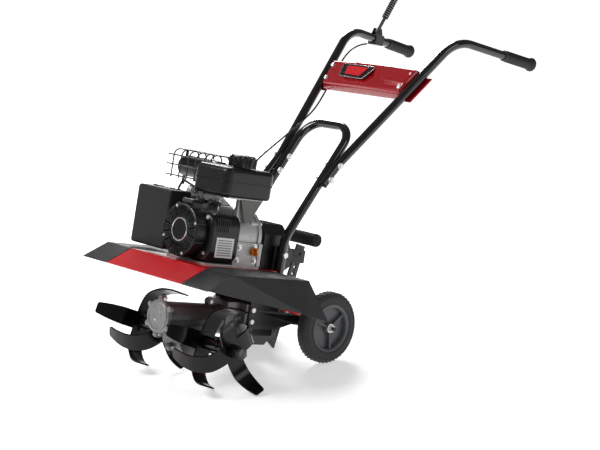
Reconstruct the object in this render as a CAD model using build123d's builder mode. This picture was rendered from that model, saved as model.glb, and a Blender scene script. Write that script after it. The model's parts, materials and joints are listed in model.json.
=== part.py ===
"""Front-tine tiller: a small engine over a worm gearbox, four tine sets, two wheels and a pair of handles.

Row frame: +Z up, tines at -Y, operator at +Y, the operator's left at +X, origin at the bottom centre.
The engine, gearbox, deck and handles are built square to each other in the machine frame (x, u, w):
x across, u rearward, w upward, with its origin on the tine shaft. The machine stands pitched back.
"""

from build123d import *
from math import asin, atan2, cos, hypot, radians, sin, tan
import os

os.makedirs("parts", exist_ok=True)

# ---------------------------------------------------------------- driving dimensions, mm and degrees
pitch = 12.6                # how far the machine leans back on its wheels
shaft_height = 117.0        # tine shaft above the ground
shaft_setback = -501.2      # tine shaft from the middle of the whole length
fit_gap = 0.05              # radial clearance of a turning shaft
body_gap = 0.4              # clearance between pieces that move apart

wheel_radius = 101.6        # 8 in wheel
wheel_width = 44.0
wheel_x = 158.0             # middle of each wheel
wheel_rearward = 379.0      # wheel axle behind the tine shaft, along the ground
rim_radius = 66.0
axle_radius = 6.0
axle_tube_radius = 12.5
hub_half = 17.0             # half the width of a wheel hub

tine_radius = 116.9         # cutting radius at the middle of a tip
tine_thickness = 5.0
tine_width = 50.0
outer_plate_x = 195.0       # where the crossed straps of the outer sets stand
inner_plate_x = 85.0
outer_phase = 20.0          # angle of the first arm of an outer left set
inner_phase = 65.0
hub_radius = 18.0
shaft_radius = 12.7
shaft_half_length = 238.0

deck_w = 209.0              # upper face of the flat deck
deck_thickness = 2.5
deck_front_u = -181.6
deck_crease_u = -104.4
deck_front_w = 165.4
deck_rear_u = 173.0
deck_half_width = 269.0
skirt_half_width = 298.0
stripe_front_half = 159.0
stripe_rear_half = 108.0

crank_w = 289.0             # crankshaft above the tine shaft
crank_radius = 10.0
plate_thickness = 4.0       # engine plate
barrel_radius = 69.0        # round part of the crankcase
case_front_u = 57.0
case_rear_u = 142.0
case_cover_rear_u = 166.0
recoil_radius = 72.5
recoil_front_u = -79.0
recoil_rear_u = -43.0
cylinder_angle = 25.0       # cylinder above the horizontal, leaning to the operator's right
bore_radius = 26.0
cylinder_u = 100.0

worm_w = 51.0               # worm axis above the tine shaft
worm_radius = 10.0
worm_tube_radius = 41.0
worm_teeth = 24
gearbox_half_width = 46.0

tube_radius = 12.7          # 1 in handle tube
tube_wall = 1.6
handle_x = 119.0            # upper handle where it bolts on
hoop_x = handle_x - 2 * tube_radius - 0.6
grip_radius = 17.0
grip_length = 122.0

stake_width = 32.0
stake_thickness = 6.0
stake_hole_pitch = 20.0
lever_length = 172.0
lever_open_angle = 62.0

# ---------------------------------------------------------------- machine frame
tilt = radians(pitch)
shaft_centre = (0, shaft_setback, shaft_height)
upward = Vector(0, sin(tilt), cos(tilt))
rearward = Vector(0, cos(tilt), -sin(tilt))
top = Plane(origin=shaft_centre, x_dir=(1, 0, 0), z_dir=upward)        # sketch in (x, u)
side = Plane(origin=shaft_centre, x_dir=rearward, z_dir=(1, 0, 0))     # sketch in (u, w)


def at(x, u, w):
    """A machine-frame point in the row frame."""
    return top.from_local_coords(Vector(x, u, w))


def level(w):
    """A sketch plane in (x, u) that faces up at height w."""
    return top.offset(w)


def facing_front(u):
    """A sketch plane in (x, w) that faces forward at rearward position u."""
    return Plane(origin=at(0, u, 0), x_dir=(1, 0, 0), z_dir=-rearward)


def facing_side(x):
    """A sketch plane in (u, w) that faces the operator's left at x."""
    return side.offset(x)


def save(piece, name):
    """Label a finished sub-part and write it as its own STEP file."""
    piece.part.label = name
    export_step(piece.part, f"parts/{name}.step")


def bent_bar(points, radius, bend, wall=0.0):
    """A round bar, or a tube of the given wall, along machine-frame points."""
    with BuildPart() as bar:
        with BuildLine():
            route = FilletPolyline(*[at(*p) for p in points], radius=bend)
        with BuildSketch(Plane(origin=route @ 0, z_dir=route % 0)):
            Circle(radius)
            if wall:
                Circle(radius - wall, mode=Mode.SUBTRACT)
        sweep()
    return bar.part


def rod(start, end, radius, bore=0.0):
    """A straight round rod between two machine-frame points, bored when asked."""
    a, b = at(*start), at(*end)
    with BuildPart() as piece:
        with BuildSketch(Plane(origin=a, z_dir=b - a)):
            Circle(radius)
            if bore:
                Circle(bore, mode=Mode.SUBTRACT)
        extrude(amount=(b - a).length)
    return piece.part


def bores(spots, direction, radius, depth):
    """Round holes to subtract: one at each row-frame spot, running along `direction`."""
    with BuildPart() as drills:
        for spot in spots:
            with BuildSketch(Plane(origin=spot, z_dir=direction)):
                Circle(radius)
            extrude(amount=depth)
    return drills.part


def facet(points, thickness, both=False):
    """A flat panel through row-frame points, thickened away from the side they turn anticlockwise on."""
    points = [Vector(*p) for p in points]
    normal = (points[1] - points[0]).cross(points[2] - points[0])
    plane = Plane(origin=points[0], x_dir=points[1] - points[0], z_dir=normal)
    with BuildPart() as panel:
        with BuildSketch(plane):
            with BuildLine():
                Polyline(*[plane.to_local_coords(p) for p in points], close=True)
            make_face()
        extrude(amount=-thickness / 2 if both else -thickness, both=both)
    return panel.part


def hex_bolt(centre, direction, shank_radius, shank_length, head_flats, head_height):
    """A hexagon-head bolt: head under `centre`, shank running along `direction`."""
    with BuildPart() as bolt:
        with BuildSketch(Plane(origin=centre, z_dir=direction)):
            Circle(shank_radius)
        extrude(amount=shank_length)
        with BuildSketch(Plane(origin=centre, z_dir=-direction)):
            RegularPolygon(head_flats / 2, 6, major_radius=False)
        extrude(amount=head_height)
    return bolt.part


# ---------------------------------------------------------------- main frame
wheel_y = shaft_setback + wheel_rearward
axle_centre = Vector(0, wheel_y, wheel_radius)
axle_local = top.to_local_coords(axle_centre)
axle_u, axle_w = axle_local.Y, axle_local.Z
deck_under_w = deck_w - deck_thickness
plate_top_w = deck_under_w - 0.5
frame_plate = 5.0
frame_plate_x = 72.0        # inner face of each side plate
leg_x = hoop_x
leg_u = 219.0
bolt_slack = 0.2            # radial play of a bolt in its hole
engine_bolt_radius = 4.0
engine_bolt_spots = [(66, 74), (-66, 74), (66, 126), (-66, 126)]
leg_bolt_spots = [(leg_u, 254.0), (leg_u, 160.0)]
cheek_x = frame_plate_x + frame_plate + 0.1
cheek_thickness = leg_x - tube_radius - 0.1 - cheek_x


def engine_bolt_holes():
    """The four engine bolt holes, right through the deck."""
    spots = [at(x, u, 150) for x, u in engine_bolt_spots]
    return bores(spots, upward, engine_bolt_radius + bolt_slack, 80)


def leg_bolt_holes():
    """The bolt holes that join each leg of the hoop to its cheek and to the frame."""
    spots = [at(-150, u, w) for u, w in leg_bolt_spots]
    return bores(spots, Vector(1, 0, 0), 4 + bolt_slack, 300)


mount_bolt_spots = [(160, 60), (160, 92)]


def mount_bolt_holes():
    """The holes that bolt the gearbox between the two side plates."""
    spots = [at(-frame_plate_x - frame_plate - 1, u, w) for u, w in mount_bolt_spots]
    return bores(spots, Vector(1, 0, 0), 4 + bolt_slack, 2 * (frame_plate_x + frame_plate + 1))


with BuildPart() as main_frame:
    with BuildSketch(level(plate_top_w - frame_plate)):
        with Locations((0, 71)):
            Rectangle(200, 238)
        with Locations((0, 230)):
            Rectangle(134, 130, mode=Mode.SUBTRACT)
    extrude(amount=frame_plate)
    for x in (frame_plate_x, -frame_plate_x - frame_plate):
        with BuildSketch(facing_side(x)):
            with BuildLine():
                Polyline(
                    (150, plate_top_w), (232, plate_top_w), (232, 150), (256, 92), (axle_u, axle_w + 20),
                    (axle_u + 20, axle_w + 14), (axle_u + 20, axle_w - 16), (axle_u - 60, axle_w - 10),
                    (255, 40), (150, 40), close=True,
                )
            make_face()
        extrude(amount=frame_plate)
    with BuildSketch(facing_side(-frame_plate_x - frame_plate)):
        with Locations((axle_u, axle_w)):
            Circle(axle_tube_radius)
    extrude(amount=2 * (frame_plate_x + frame_plate))
    with Locations(Plane(origin=axle_centre, z_dir=(1, 0, 0))):
        Cylinder(axle_tube_radius, 2 * (wheel_x - hub_half - body_gap))
        Cylinder(axle_radius, 2 * (wheel_x + wheel_width / 2 + 12))
    add(engine_bolt_holes(), mode=Mode.SUBTRACT)
    add(leg_bolt_holes(), mode=Mode.SUBTRACT)
    add(mount_bolt_holes(), mode=Mode.SUBTRACT)
save(main_frame, "main_frame")

# ---------------------------------------------------------------- deck: red centre sheet and dark side sheets
flap_u, flap_w = 264.0, 98.0
flap_top_u = 196.0
leg_hole = tube_radius + 2.5

with BuildPart() as tine_shield_centre:
    with BuildSketch(level(deck_under_w)):
        with BuildLine():
            Polyline(
                (-stripe_front_half, deck_crease_u), (stripe_front_half, deck_crease_u),
                (stripe_rear_half, -35), (stripe_rear_half, flap_top_u),
                (-stripe_rear_half, flap_top_u), (-stripe_rear_half, -35), close=True,
            )
        make_face()
    extrude(amount=deck_thickness)
    add(facet([at(-stripe_front_half, deck_crease_u, deck_w), at(-stripe_front_half, deck_front_u, deck_front_w),
               at(stripe_front_half, deck_front_u, deck_front_w), at(stripe_front_half, deck_crease_u, deck_w)],
              deck_thickness))
    add(facet([at(stripe_rear_half, flap_top_u, deck_w), at(stripe_front_half, flap_u, flap_w),
               at(-stripe_front_half, flap_u, flap_w), at(-stripe_rear_half, flap_top_u, deck_w)],
              deck_thickness))
    with BuildSketch(level(60)):
        with Locations((0, 240)):
            Rectangle(2 * (cheek_x + cheek_thickness + 1.5), 150)
        with Locations((leg_x, leg_u), (-leg_x, leg_u)):
            Circle(leg_hole)
            Rectangle(46, 24)
    extrude(amount=200, mode=Mode.SUBTRACT)
    add(engine_bolt_holes(), mode=Mode.SUBTRACT)
save(tine_shield_centre, "tine_shield_centre")


def side_shield(sign):
    """One dark side sheet: front flap, flat deck, flared skirt; sign is +1 for the operator's left."""
    half = deck_half_width
    overlap = 4.0
    front_inner = (stripe_front_half + overlap, deck_front_u, deck_front_w)
    front_outer = (half, deck_front_u, deck_front_w)
    crease_outer = (half, deck_crease_u, deck_w)
    crease_inner = (stripe_front_half + overlap, deck_crease_u, deck_w)
    taper_inner = (stripe_rear_half + overlap, -35, deck_w)
    rear_inner = (stripe_rear_half + overlap, deck_rear_u, deck_w)
    rear_outer = (half - 6, deck_rear_u, deck_w)
    skirt_low = (skirt_half_width, 149, 122)
    skirt_tip = (skirt_half_width, 236, 105)
    panels = [
        [crease_inner, front_inner, front_outer, crease_outer],
        [crease_inner, crease_outer, rear_outer, rear_inner, taper_inner],
        [crease_outer, front_outer, skirt_low],
        [crease_outer, skirt_low, rear_outer],
        [rear_outer, skirt_low, skirt_tip],
    ]
    pieces = []
    for panel in panels:
        points = [at(sign * x, u, w) for x, u, w in panel]
        pieces.append(facet(points if sign > 0 else points[::-1], deck_thickness))
    with BuildPart() as shield:
        for piece in pieces:
            add(piece)
    return shield


for sign, name in ((1, "left"), (-1, "right")):
    save(side_shield(sign), f"tine_shield_{name}")

# ---------------------------------------------------------------- engine
engine_floor_w = deck_w + plate_thickness

sump_half = 78.0
tank_low = 394.0
shelf_w = tank_low - 4.0
cover_bolt_circle = barrel_radius - 1.5
cover_bolt_angles = (35, 100, 325, 215)
cover_bolt_spots = [
    at(cover_bolt_circle * cos(radians(a)), case_rear_u + 12, crank_w + cover_bolt_circle * sin(radians(a)))
    for a in cover_bolt_angles
]


def cover_bolt_holes():
    """Holes for the screws that hold the crankcase cover."""
    return bores(cover_bolt_spots, -rearward, 3 + bolt_slack, 24)


with BuildPart() as crankcase:
    with BuildSketch(facing_front(case_front_u)):
        with Locations((0, crank_w)):
            Circle(barrel_radius)
        with Locations((0, (engine_floor_w + 276) / 2)):
            Rectangle(2 * sump_half, 276 - engine_floor_w)
    extrude(amount=case_front_u - case_rear_u)
    with BuildSketch(facing_front(case_rear_u - 24)):
        with Locations((0, crank_w)):
            with Locations(*[(cover_bolt_circle * cos(radians(a)), cover_bolt_circle * sin(radians(a)))
                             for a in cover_bolt_angles]):
                Circle(7)
    extrude(amount=-24)
    with BuildSketch(level(deck_w)):
        with Locations((0, 55)):
            RectangleRounded(172, 200, 12)
    extrude(amount=plate_thickness)
    with BuildSketch(facing_front(case_front_u + 8)):
        with Locations((0, crank_w)):
            Circle(barrel_radius - 6)
        with Locations((0, 246)):
            Rectangle(2 * sump_half - 12, 52)
    extrude(amount=case_front_u + 8 - case_rear_u, mode=Mode.SUBTRACT)
    with BuildSketch(facing_front(case_front_u)):
        with Locations((0, crank_w)):
            Circle(crank_radius + 8)
    extrude(amount=-10, mode=Mode.SUBTRACT)
    # cylinder mouth
    mouth = Plane(origin=at(0, cylinder_u, crank_w), x_dir=rearward,
                  z_dir=Vector(-cos(radians(cylinder_angle)), 0, 0) + upward * sin(radians(cylinder_angle)))
    with BuildSketch(mouth.offset(40)):
        Circle(bore_radius + 4)
    extrude(amount=60, mode=Mode.SUBTRACT)
    # tank posts cast on the top
    for x, u in ((52, 72), (34, 108)):
        with BuildSketch(level(330)):
            with Locations((x, u)):
                RectangleRounded(14, 18, 3)
        extrude(amount=shelf_w - 330)
    with BuildSketch(level(shelf_w)):
        with Locations((14, 74)):
            Rectangle(112, 120)
    extrude(amount=tank_low - shelf_w - 0.5)
    with BuildSketch(facing_side(66)):
        with BuildLine():
            Polyline((60, shelf_w + 1), (134, shelf_w + 1), (100, 330), (84, 330), close=True)
        make_face()
    extrude(amount=4)
    add(engine_bolt_holes(), mode=Mode.SUBTRACT)
    add(cover_bolt_holes(), mode=Mode.SUBTRACT)
save(crankcase, "crankcase")

with BuildPart() as crankcase_cover:
    with BuildSketch(facing_front(case_rear_u)):
        with Locations((0, crank_w)):
            Circle(barrel_radius + 4)
        with Locations((0, (engine_floor_w + 276) / 2)):
            Rectangle(2 * sump_half + 6, 276 - engine_floor_w)
    extrude(amount=-12)
    with BuildSketch(facing_front(case_rear_u + 12)):
        with Locations((0, crank_w)):
            Circle(barrel_radius - 8)
    extrude(amount=case_rear_u + 12 - case_cover_rear_u, taper=12)
    with BuildSketch(facing_front(case_rear_u)):
        with Locations((0, crank_w)):
            Circle(crank_radius + 8)
    extrude(amount=-40, mode=Mode.SUBTRACT)
    add(cover_bolt_holes(), mode=Mode.SUBTRACT)
save(crankcase_cover, "crankcase_cover")

belt_u = 214.0              # middle of the belt
crank_rear_u = belt_u + 14
crank_throw = 18.0
web_radius = 38.0
with BuildPart() as crankshaft:
    with BuildSketch(facing_front(-34)):
        with Locations((0, crank_w)):
            Circle(crank_radius)
    extrude(amount=-34 - 84)
    with BuildSketch(facing_front(117)):
        with Locations((0, crank_w)):
            Circle(crank_radius)
    extrude(amount=117 - crank_rear_u)
    for u in (83, 109):
        with BuildSketch(facing_front(u)):
            with Locations((0, crank_w)):
                Circle(web_radius)
        extrude(amount=-9)
    with BuildSketch(facing_front(90)):
        with Locations((0, crank_w + crank_throw)):
            Circle(11)
    extrude(amount=-21)
save(crankshaft, "crankshaft")

flywheel_radius = 51.0
with BuildPart() as flywheel:
    with BuildSketch(facing_front(-22)):
        with Locations((0, crank_w)):
            Circle(flywheel_radius)
            Circle(crank_radius, mode=Mode.SUBTRACT)
    extrude(amount=-14)
    with BuildSketch(facing_front(-34)):
        with Locations((0, crank_w)):
            with PolarLocations(36, 12):
                Rectangle(26, 3)
    extrude(amount=-13)
save(flywheel, "flywheel")

housing_left, housing_right = 90.0, -76.0
housing_front_u, housing_rear_u = -42.0, 55.0
housing_top_w = 346.0
housing_mid = (housing_left + housing_right) / 2
housing_wide = housing_left - housing_right
housing_tall = housing_top_w - engine_floor_w - 1
housing_bolt_spots = [at(x, housing_front_u, w) for x, w in ((66, 334), (70, 238), (-60, 230))]
with BuildPart() as blower_housing:
    with BuildSketch(facing_front(housing_front_u)):
        with Locations((housing_mid, engine_floor_w + 1 + housing_tall / 2)):
            RectangleRounded(housing_wide, housing_tall, 34)
    extrude(amount=housing_front_u - housing_rear_u)
    fillet(blower_housing.faces().sort_by(Axis(at(0, 0, 0), rearward))[0].edges(), 9)
    with BuildSketch(facing_front(housing_front_u + 3)):
        with Locations((housing_mid, engine_floor_w + 1 + housing_tall / 2)):
            RectangleRounded(housing_wide - 6, housing_tall - 6, 31)
    extrude(amount=housing_front_u - housing_rear_u, mode=Mode.SUBTRACT)
    with BuildSketch(facing_front(housing_front_u)):
        with Locations((0, crank_w)):
            Circle(recoil_radius - 8)
    extrude(amount=-5, mode=Mode.SUBTRACT)
    add(bores(housing_bolt_spots, rearward, 2.5 + bolt_slack, 12), mode=Mode.SUBTRACT)
save(blower_housing, "blower_housing")

recoil_wall = 2.5
pulley_post_radius = 5.0
with BuildPart() as recoil_cover:
    with BuildSketch(facing_front(recoil_rear_u)):
        with Locations((0, crank_w)):
            Circle(recoil_radius)
        with Locations((8, crank_w + 62)):
            RectangleRounded(56, 44, 9)
    extrude(amount=recoil_rear_u - recoil_front_u)
    fillet(recoil_cover.faces().sort_by(Axis(at(0, 0, 0), rearward))[0].edges(), 7)
    with BuildSketch(facing_front(recoil_rear_u)):
        with Locations((0, crank_w)):
            Circle(recoil_radius - recoil_wall)
    extrude(amount=recoil_rear_u - recoil_front_u - recoil_wall, mode=Mode.SUBTRACT)
    with BuildSketch(facing_front(recoil_front_u - 1)):
        with Locations((0, crank_w)):
            with PolarLocations(52, 30):
                SlotOverall(26, 4)
    extrude(amount=-6, mode=Mode.SUBTRACT)
    # pocket that holds the pull handle, and the eyelet below it
    with BuildSketch(facing_front(recoil_front_u - 1)):
        with Locations((8, crank_w + 77)):
            Rectangle(48, 20)
    extrude(amount=-26, mode=Mode.SUBTRACT)
    with BuildSketch(level(crank_w + 55)):
        with Locations((8, recoil_front_u + 14)):
            Circle(4)
    extrude(amount=20, mode=Mode.SUBTRACT)
    with BuildSketch(facing_front(recoil_front_u + 1)):
        with Locations((0, crank_w)):
            Circle(pulley_post_radius)
    extrude(amount=-25)
save(recoil_cover, "recoil_cover")

starter_pulley_radius = 42.0
with BuildPart() as starter_pulley:
    with BuildSketch(facing_front(recoil_front_u + 8)):
        with Locations((0, crank_w)):
            Circle(starter_pulley_radius)
            Circle(pulley_post_radius + fit_gap, mode=Mode.SUBTRACT)
    extrude(amount=-14)
    with BuildSketch(facing_front(recoil_front_u + 12)):
        with Locations((0, crank_w)):
            Circle(starter_pulley_radius + 1)
            Circle(starter_pulley_radius - 6, mode=Mode.SUBTRACT)
    extrude(amount=-6, mode=Mode.SUBTRACT)
save(starter_pulley, "starter_pulley")

handle_u = recoil_front_u + 12
handle_w = crank_w + 78
with BuildPart() as starter_handle:
    with BuildSketch(facing_side(8 - 21)):
        with Locations((handle_u, handle_w)):
            Ellipse(9, 7.5)
    extrude(amount=42)
    with BuildSketch(level(handle_w - 16)):
        with Locations((8, handle_u + 2)):
            Circle(2)
    extrude(amount=12)
save(starter_handle, "starter_handle")

# ---- cylinder, head and what is inside
along = mouth.z_dir
with BuildPart() as cylinder:
    with BuildSketch(mouth.offset(56)):
        Circle(bore_radius + 6)
    extrude(amount=92)
    with BuildSketch(mouth.offset(barrel_radius + 4)):
        Rectangle(84, 84)
    extrude(amount=6)
    for i in range(8):
        with BuildSketch(mouth.offset(barrel_radius + 14 + i * 8)):
            RectangleRounded(88, 88, 10)
        extrude(amount=2.4)
    with BuildSketch(mouth.offset(50)):
        Circle(bore_radius)
    extrude(amount=110, mode=Mode.SUBTRACT)
    with BuildSketch(facing_front(cylinder_u - 60)):
        with Locations((0, crank_w)):
            Circle(barrel_radius + 0.1)
    extrude(amount=-130, mode=Mode.SUBTRACT)
save(cylinder, "cylinder")

head_start = 148.0
with BuildPart() as cylinder_head:
    with BuildSketch(mouth.offset(head_start)):
        RectangleRounded(84, 84, 8)
    extrude(amount=26)
    for i in range(3):
        with BuildSketch(mouth.offset(head_start + 3 + i * 8)):
            RectangleRounded(92, 92, 10)
        extrude(amount=2.4)
    with BuildSketch(mouth.offset(head_start + 26)):
        RectangleRounded(76, 70, 12)
    extrude(amount=22)
    fillet(cylinder_head.faces().sort_by(Axis(at(0, 0, 0), along))[-1].edges(), 6)
save(cylinder_head, "cylinder_head")

# ---- intake side
air_left, air_right = -77.0, -224.0
air_low, air_high = 222.0, 386.0
air_front_u, air_joint_u, air_rear_u = -65.0, -22.0, 8.0
air_mid = ((air_left + air_right) / 2, (air_low + air_high) / 2)
air_size = (air_left - air_right, air_high - air_low)
with BuildPart() as air_cleaner_cover:
    with BuildSketch(facing_front(air_joint_u)):
        with Locations(air_mid):
            RectangleRounded(*air_size, 9)
    extrude(amount=air_joint_u - air_front_u)
    fillet(air_cleaner_cover.faces().sort_by(Axis(at(0, 0, 0), rearward))[0].edges(), 7)
    with BuildSketch(facing_front(air_joint_u)):
        with Locations(air_mid):
            RectangleRounded(air_size[0] - 6, air_size[1] - 6, 6)
    extrude(amount=air_joint_u - air_front_u - 3, mode=Mode.SUBTRACT)
save(air_cleaner_cover, "air_cleaner_cover")

with BuildPart() as air_cleaner_base:
    with BuildSketch(facing_front(air_joint_u)):
        with Locations(air_mid):
            RectangleRounded(*air_size, 9)
    extrude(amount=air_joint_u - air_rear_u)
    with BuildSketch(facing_front(air_joint_u)):
        with Locations(air_mid):
            RectangleRounded(air_size[0] - 6, air_size[1] - 6, 6)
    extrude(amount=air_joint_u - air_rear_u + 3, mode=Mode.SUBTRACT)
    with BuildSketch(facing_front(air_rear_u - 4)):
        with Locations((-100, 362)):
            Circle(9)
    extrude(amount=-10, mode=Mode.SUBTRACT)
save(air_cleaner_base, "air_cleaner_base")

with BuildPart() as carburetor:
    with BuildSketch(facing_front(air_rear_u + 0.4)):
        with Locations((-100, 362)):
            RectangleRounded(40, 34, 5)
            Circle(9, mode=Mode.SUBTRACT)
    extrude(amount=-32)
    with BuildSketch(level(322)):
        with Locations((-100, 26)):
            Circle(15)
    extrude(amount=24)
save(carburetor, "carburetor")

# ---- fuel
tank_left, tank_right = 79.0, -66.0
tank_front_u, tank_rear_u = -9.0, 168.0
tank_high = 474.0
tank_mid = ((tank_left + tank_right) / 2, (tank_front_u + tank_rear_u) / 2)
tank_size = (tank_left - tank_right, tank_rear_u - tank_front_u)
tank_wall = 3.0
neck = (34.0, 76.0)
neck_radius = 24.0
neck_high = 485.0
with BuildPart() as fuel_tank:
    with BuildSketch(level(tank_low)):
        with Locations(tank_mid):
            RectangleRounded(*tank_size, 24)
    extrude(amount=tank_high - tank_low)
    fillet(fuel_tank.faces().sort_by(Axis(at(0, 0, 0), upward))[-1].edges(), 14)
    fillet(fuel_tank.faces().sort_by(Axis(at(0, 0, 0), upward))[0].edges(), 10)
    with BuildSketch(level(tank_high - 6)):
        with Locations(neck):
            Circle(neck_radius)
    extrude(amount=neck_high - tank_high + 6)
    with BuildSketch(level((tank_low + tank_high) / 2 - 2)):
        with Locations(tank_mid):
            RectangleRounded(tank_size[0] + 5, tank_size[1] + 5, 26)
    extrude(amount=4)
    with BuildSketch(level(tank_low + tank_wall)):
        with Locations(tank_mid):
            RectangleRounded(tank_size[0] - 2 * tank_wall, tank_size[1] - 2 * tank_wall, 20)
    extrude(amount=tank_high - tank_low - 2 * tank_wall - 8, mode=Mode.SUBTRACT)
    with BuildSketch(level(tank_high - 30)):
        with Locations(neck):
            Circle(neck_radius - tank_wall)
    extrude(amount=60, mode=Mode.SUBTRACT)
save(fuel_tank, "fuel_tank")

with BuildPart() as fuel_cap:
    with BuildSketch(level(neck_high + body_gap)):
        with Locations(neck):
            Circle(34)
    extrude(amount=28)
    with BuildSketch(level(neck_high - 9)):
        with Locations(neck):
            Circle(34)
            Circle(neck_radius + body_gap, mode=Mode.SUBTRACT)
    extrude(amount=12)
    with BuildSketch(level(neck_high - 9)):
        with Locations(neck):
            with PolarLocations(34, 8):
                Circle(6.5)
    extrude(amount=32)
    with BuildSketch(level(neck_high - 20)):
        with Locations(neck):
            Circle(neck_radius + body_gap)
    extrude(amount=20 + body_gap, mode=Mode.SUBTRACT)
save(fuel_cap, "fuel_cap")

# ---- exhaust
muffler_left, muffler_right = -80.0, -232.0
muffler_u, muffler_w, muffler_radius = 104.0, 449.0, 29.0
with BuildPart() as muffler:
    with BuildSketch(facing_side(muffler_right)):
        with Locations((muffler_u, muffler_w)):
            SlotOverall(76, 2 * muffler_radius)
    extrude(amount=muffler_left - muffler_right)
    fillet(muffler.faces().filter_by(Axis.X).edges(), 8)
    with BuildSketch(level(410)):
        with Locations((-168, 100)):
            Circle(11)
    extrude(amount=20)
save(muffler, "muffler")

guard_wire = 2.2
with BuildPart() as muffler_guard:
    for x in (-240, -206, -172, -138, -104, -78):
        add(bent_bar([(x, 58, 412), (x, 58, 494), (x, 150, 494), (x, 150, 412)], guard_wire, 20))
    for w in (419, 449, 476):
        add(bent_bar([(-262, 56, w), (-240, 58, w), (-72, 58, w)], guard_wire, 6))
    for u in (80, 104, 128):
        add(rod((-246, u, 494), (-72, u, 494), guard_wire))
    with BuildSketch(facing_side(-239)):
        with Locations((104, 444)):
            Rectangle(10, 100)
    extrude(amount=2)
    with BuildSketch(facing_side(-239)):
        with Locations((104, 444)):
            Circle(9)
    extrude(amount=6.8)
save(muffler_guard, "muffler_guard")

plug_s = head_start + 13
plug_x = -plug_s * cos(radians(cylinder_angle))
plug_w = crank_w + plug_s * sin(radians(cylinder_angle))
plug_plane = Plane(origin=at(plug_x, cylinder_u - 46.3, plug_w), z_dir=-rearward)
with BuildPart() as spark_plug:
    with BuildSketch(plug_plane):
        Circle(7)
    extrude(amount=16)
    with BuildSketch(plug_plane.offset(16)):
        Circle(10)
    extrude(amount=24)
    add(bent_bar([(plug_x, 21, plug_w + 10.2), (plug_x - 3, 18, 390), (-132, 16, 414), (-98, 24, 404),
                  (-68, 34, 376), (-60, 44, 346.4)], 3.2, 10))
save(spark_plug, "spark_plug")

# ---- controls on the engine
control_w = 372.0
with BuildPart() as control_plate:
    with BuildSketch(facing_front(-6)):
        with Locations((8, 370)):
            RectangleRounded(96, 38, 6)
    extrude(amount=-3)
    with BuildSketch(facing_front(-6)):
        with Locations((-18, control_w), (34, control_w)):
            Circle(4)
    extrude(amount=14)
save(control_plate, "control_plate")

for name, x, reach in (("choke_lever", -18, 30), ("throttle_lever", 34, 34)):
    with BuildPart() as lever:
        with BuildSketch(facing_front(-12)):
            with Locations((x, control_w)):
                Circle(9)
            with Locations((x + reach / 2, control_w)):
                Rectangle(reach, 8)
            with Locations((x, control_w)):
                Circle(4 + fit_gap, mode=Mode.SUBTRACT)
        extrude(amount=3)
        with BuildSketch(facing_front(-12)):
            with Locations((x + reach, control_w)):
                Circle(6)
        extrude(amount=12)
    save(lever, name)

with BuildPart() as dipstick:
    boss = Plane(origin=at(sump_half, 124, 254), z_dir=(1, 0, 0))
    with BuildSketch(boss.offset(body_gap)):
        Circle(11)
    extrude(amount=9)
    with BuildSketch(boss.offset(body_gap + 9)):
        Rectangle(22, 5)
    extrude(amount=11)
save(dipstick, "dipstick")

# ---------------------------------------------------------------- belt drive
case_front, case_rear = 176.0, 262.0
case_half = 66.0
case_high = 330.0
case_low = -11.0
case_wall = 2.5

belt_half_width = 5.0
idler_pivot = (-52.0, 232.0)      # (x, w) of the arm's pivot
idler_axis = (-58.0 + 3.5, 168.0)
idler_radius = 10.0
post_radius = 4.0
arm_u = belt_u + 12
with BuildPart() as belt_backplate:
    with BuildSketch(facing_front(case_front - 4)):
        with BuildLine():
            Polyline((-40, case_low), (40, case_low), (case_half, 20), (case_half, case_high - 26),
                     (40, case_high), (-40, case_high), (-case_half, case_high - 26), (-case_half, 20), close=True)
        make_face()
        with Locations((0, crank_w)):
            Circle(18, mode=Mode.SUBTRACT)
        with Locations((0, worm_w)):
            Circle(18, mode=Mode.SUBTRACT)
    extrude(amount=-3.6)
    with BuildSketch(facing_front(case_front - 1)):
        with Locations(idler_pivot):
            Circle(post_radius)
    extrude(amount=case_front - 1 - arm_u - 8)
save(belt_backplate, "belt_backplate")

with BuildPart() as belt_cover:
    with BuildSketch(facing_front(case_front)):
        with BuildLine():
            Polyline((-40, case_low), (40, case_low), (case_half, 20), (case_half, case_high - 26),
                     (40, case_high), (-40, case_high), (-case_half, case_high - 26), (-case_half, 20), close=True)
        make_face()
    extrude(amount=case_front - case_rear)
    fillet(belt_cover.faces().sort_by(Axis(at(0, 0, 0), rearward))[-1].edges(), 8)
    with BuildSketch(facing_front(case_front)):
        with BuildLine():
            Polyline((-38, case_low + case_wall), (38, case_low + case_wall), (case_half - case_wall, 22),
                     (case_half - case_wall, case_high - 28), (38, case_high - case_wall),
                     (-38, case_high - case_wall), (-case_half + case_wall, case_high - 28),
                     (-case_half + case_wall, 22), close=True)
        make_face()
    extrude(amount=case_front - case_rear + case_wall, mode=Mode.SUBTRACT)
save(belt_cover, "belt_cover")

drive_pulley_radius = 26.0
driven_pulley_radius = 48.0


def pulley(w, outer, bore):
    """A V-belt pulley on an axis along u."""
    with BuildPart() as piece:
        with BuildSketch(facing_front(belt_u - 8)):
            with Locations((0, w)):
                Circle(outer)
                Circle(bore, mode=Mode.SUBTRACT)
        extrude(amount=-16)
        with BuildSketch(facing_front(belt_u - belt_half_width - 0.5)):
            with Locations((0, w)):
                Circle(outer + 1)
                Circle(outer - 8, mode=Mode.SUBTRACT)
        extrude(amount=-2 * belt_half_width - 1, mode=Mode.SUBTRACT)
    return piece


save(pulley(crank_w, drive_pulley_radius, crank_radius), "drive_pulley")
save(pulley(worm_w, driven_pulley_radius, 8.0), "driven_pulley")

# the belt runs in both grooves; it stands clear of them because it slips until the idler presses it
drive_seat = drive_pulley_radius - 7.4
driven_seat = driven_pulley_radius - 7.4
span = crank_w - worm_w
lean = asin((driven_seat - drive_seat) / span)
belt_depth = 6.0


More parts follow.
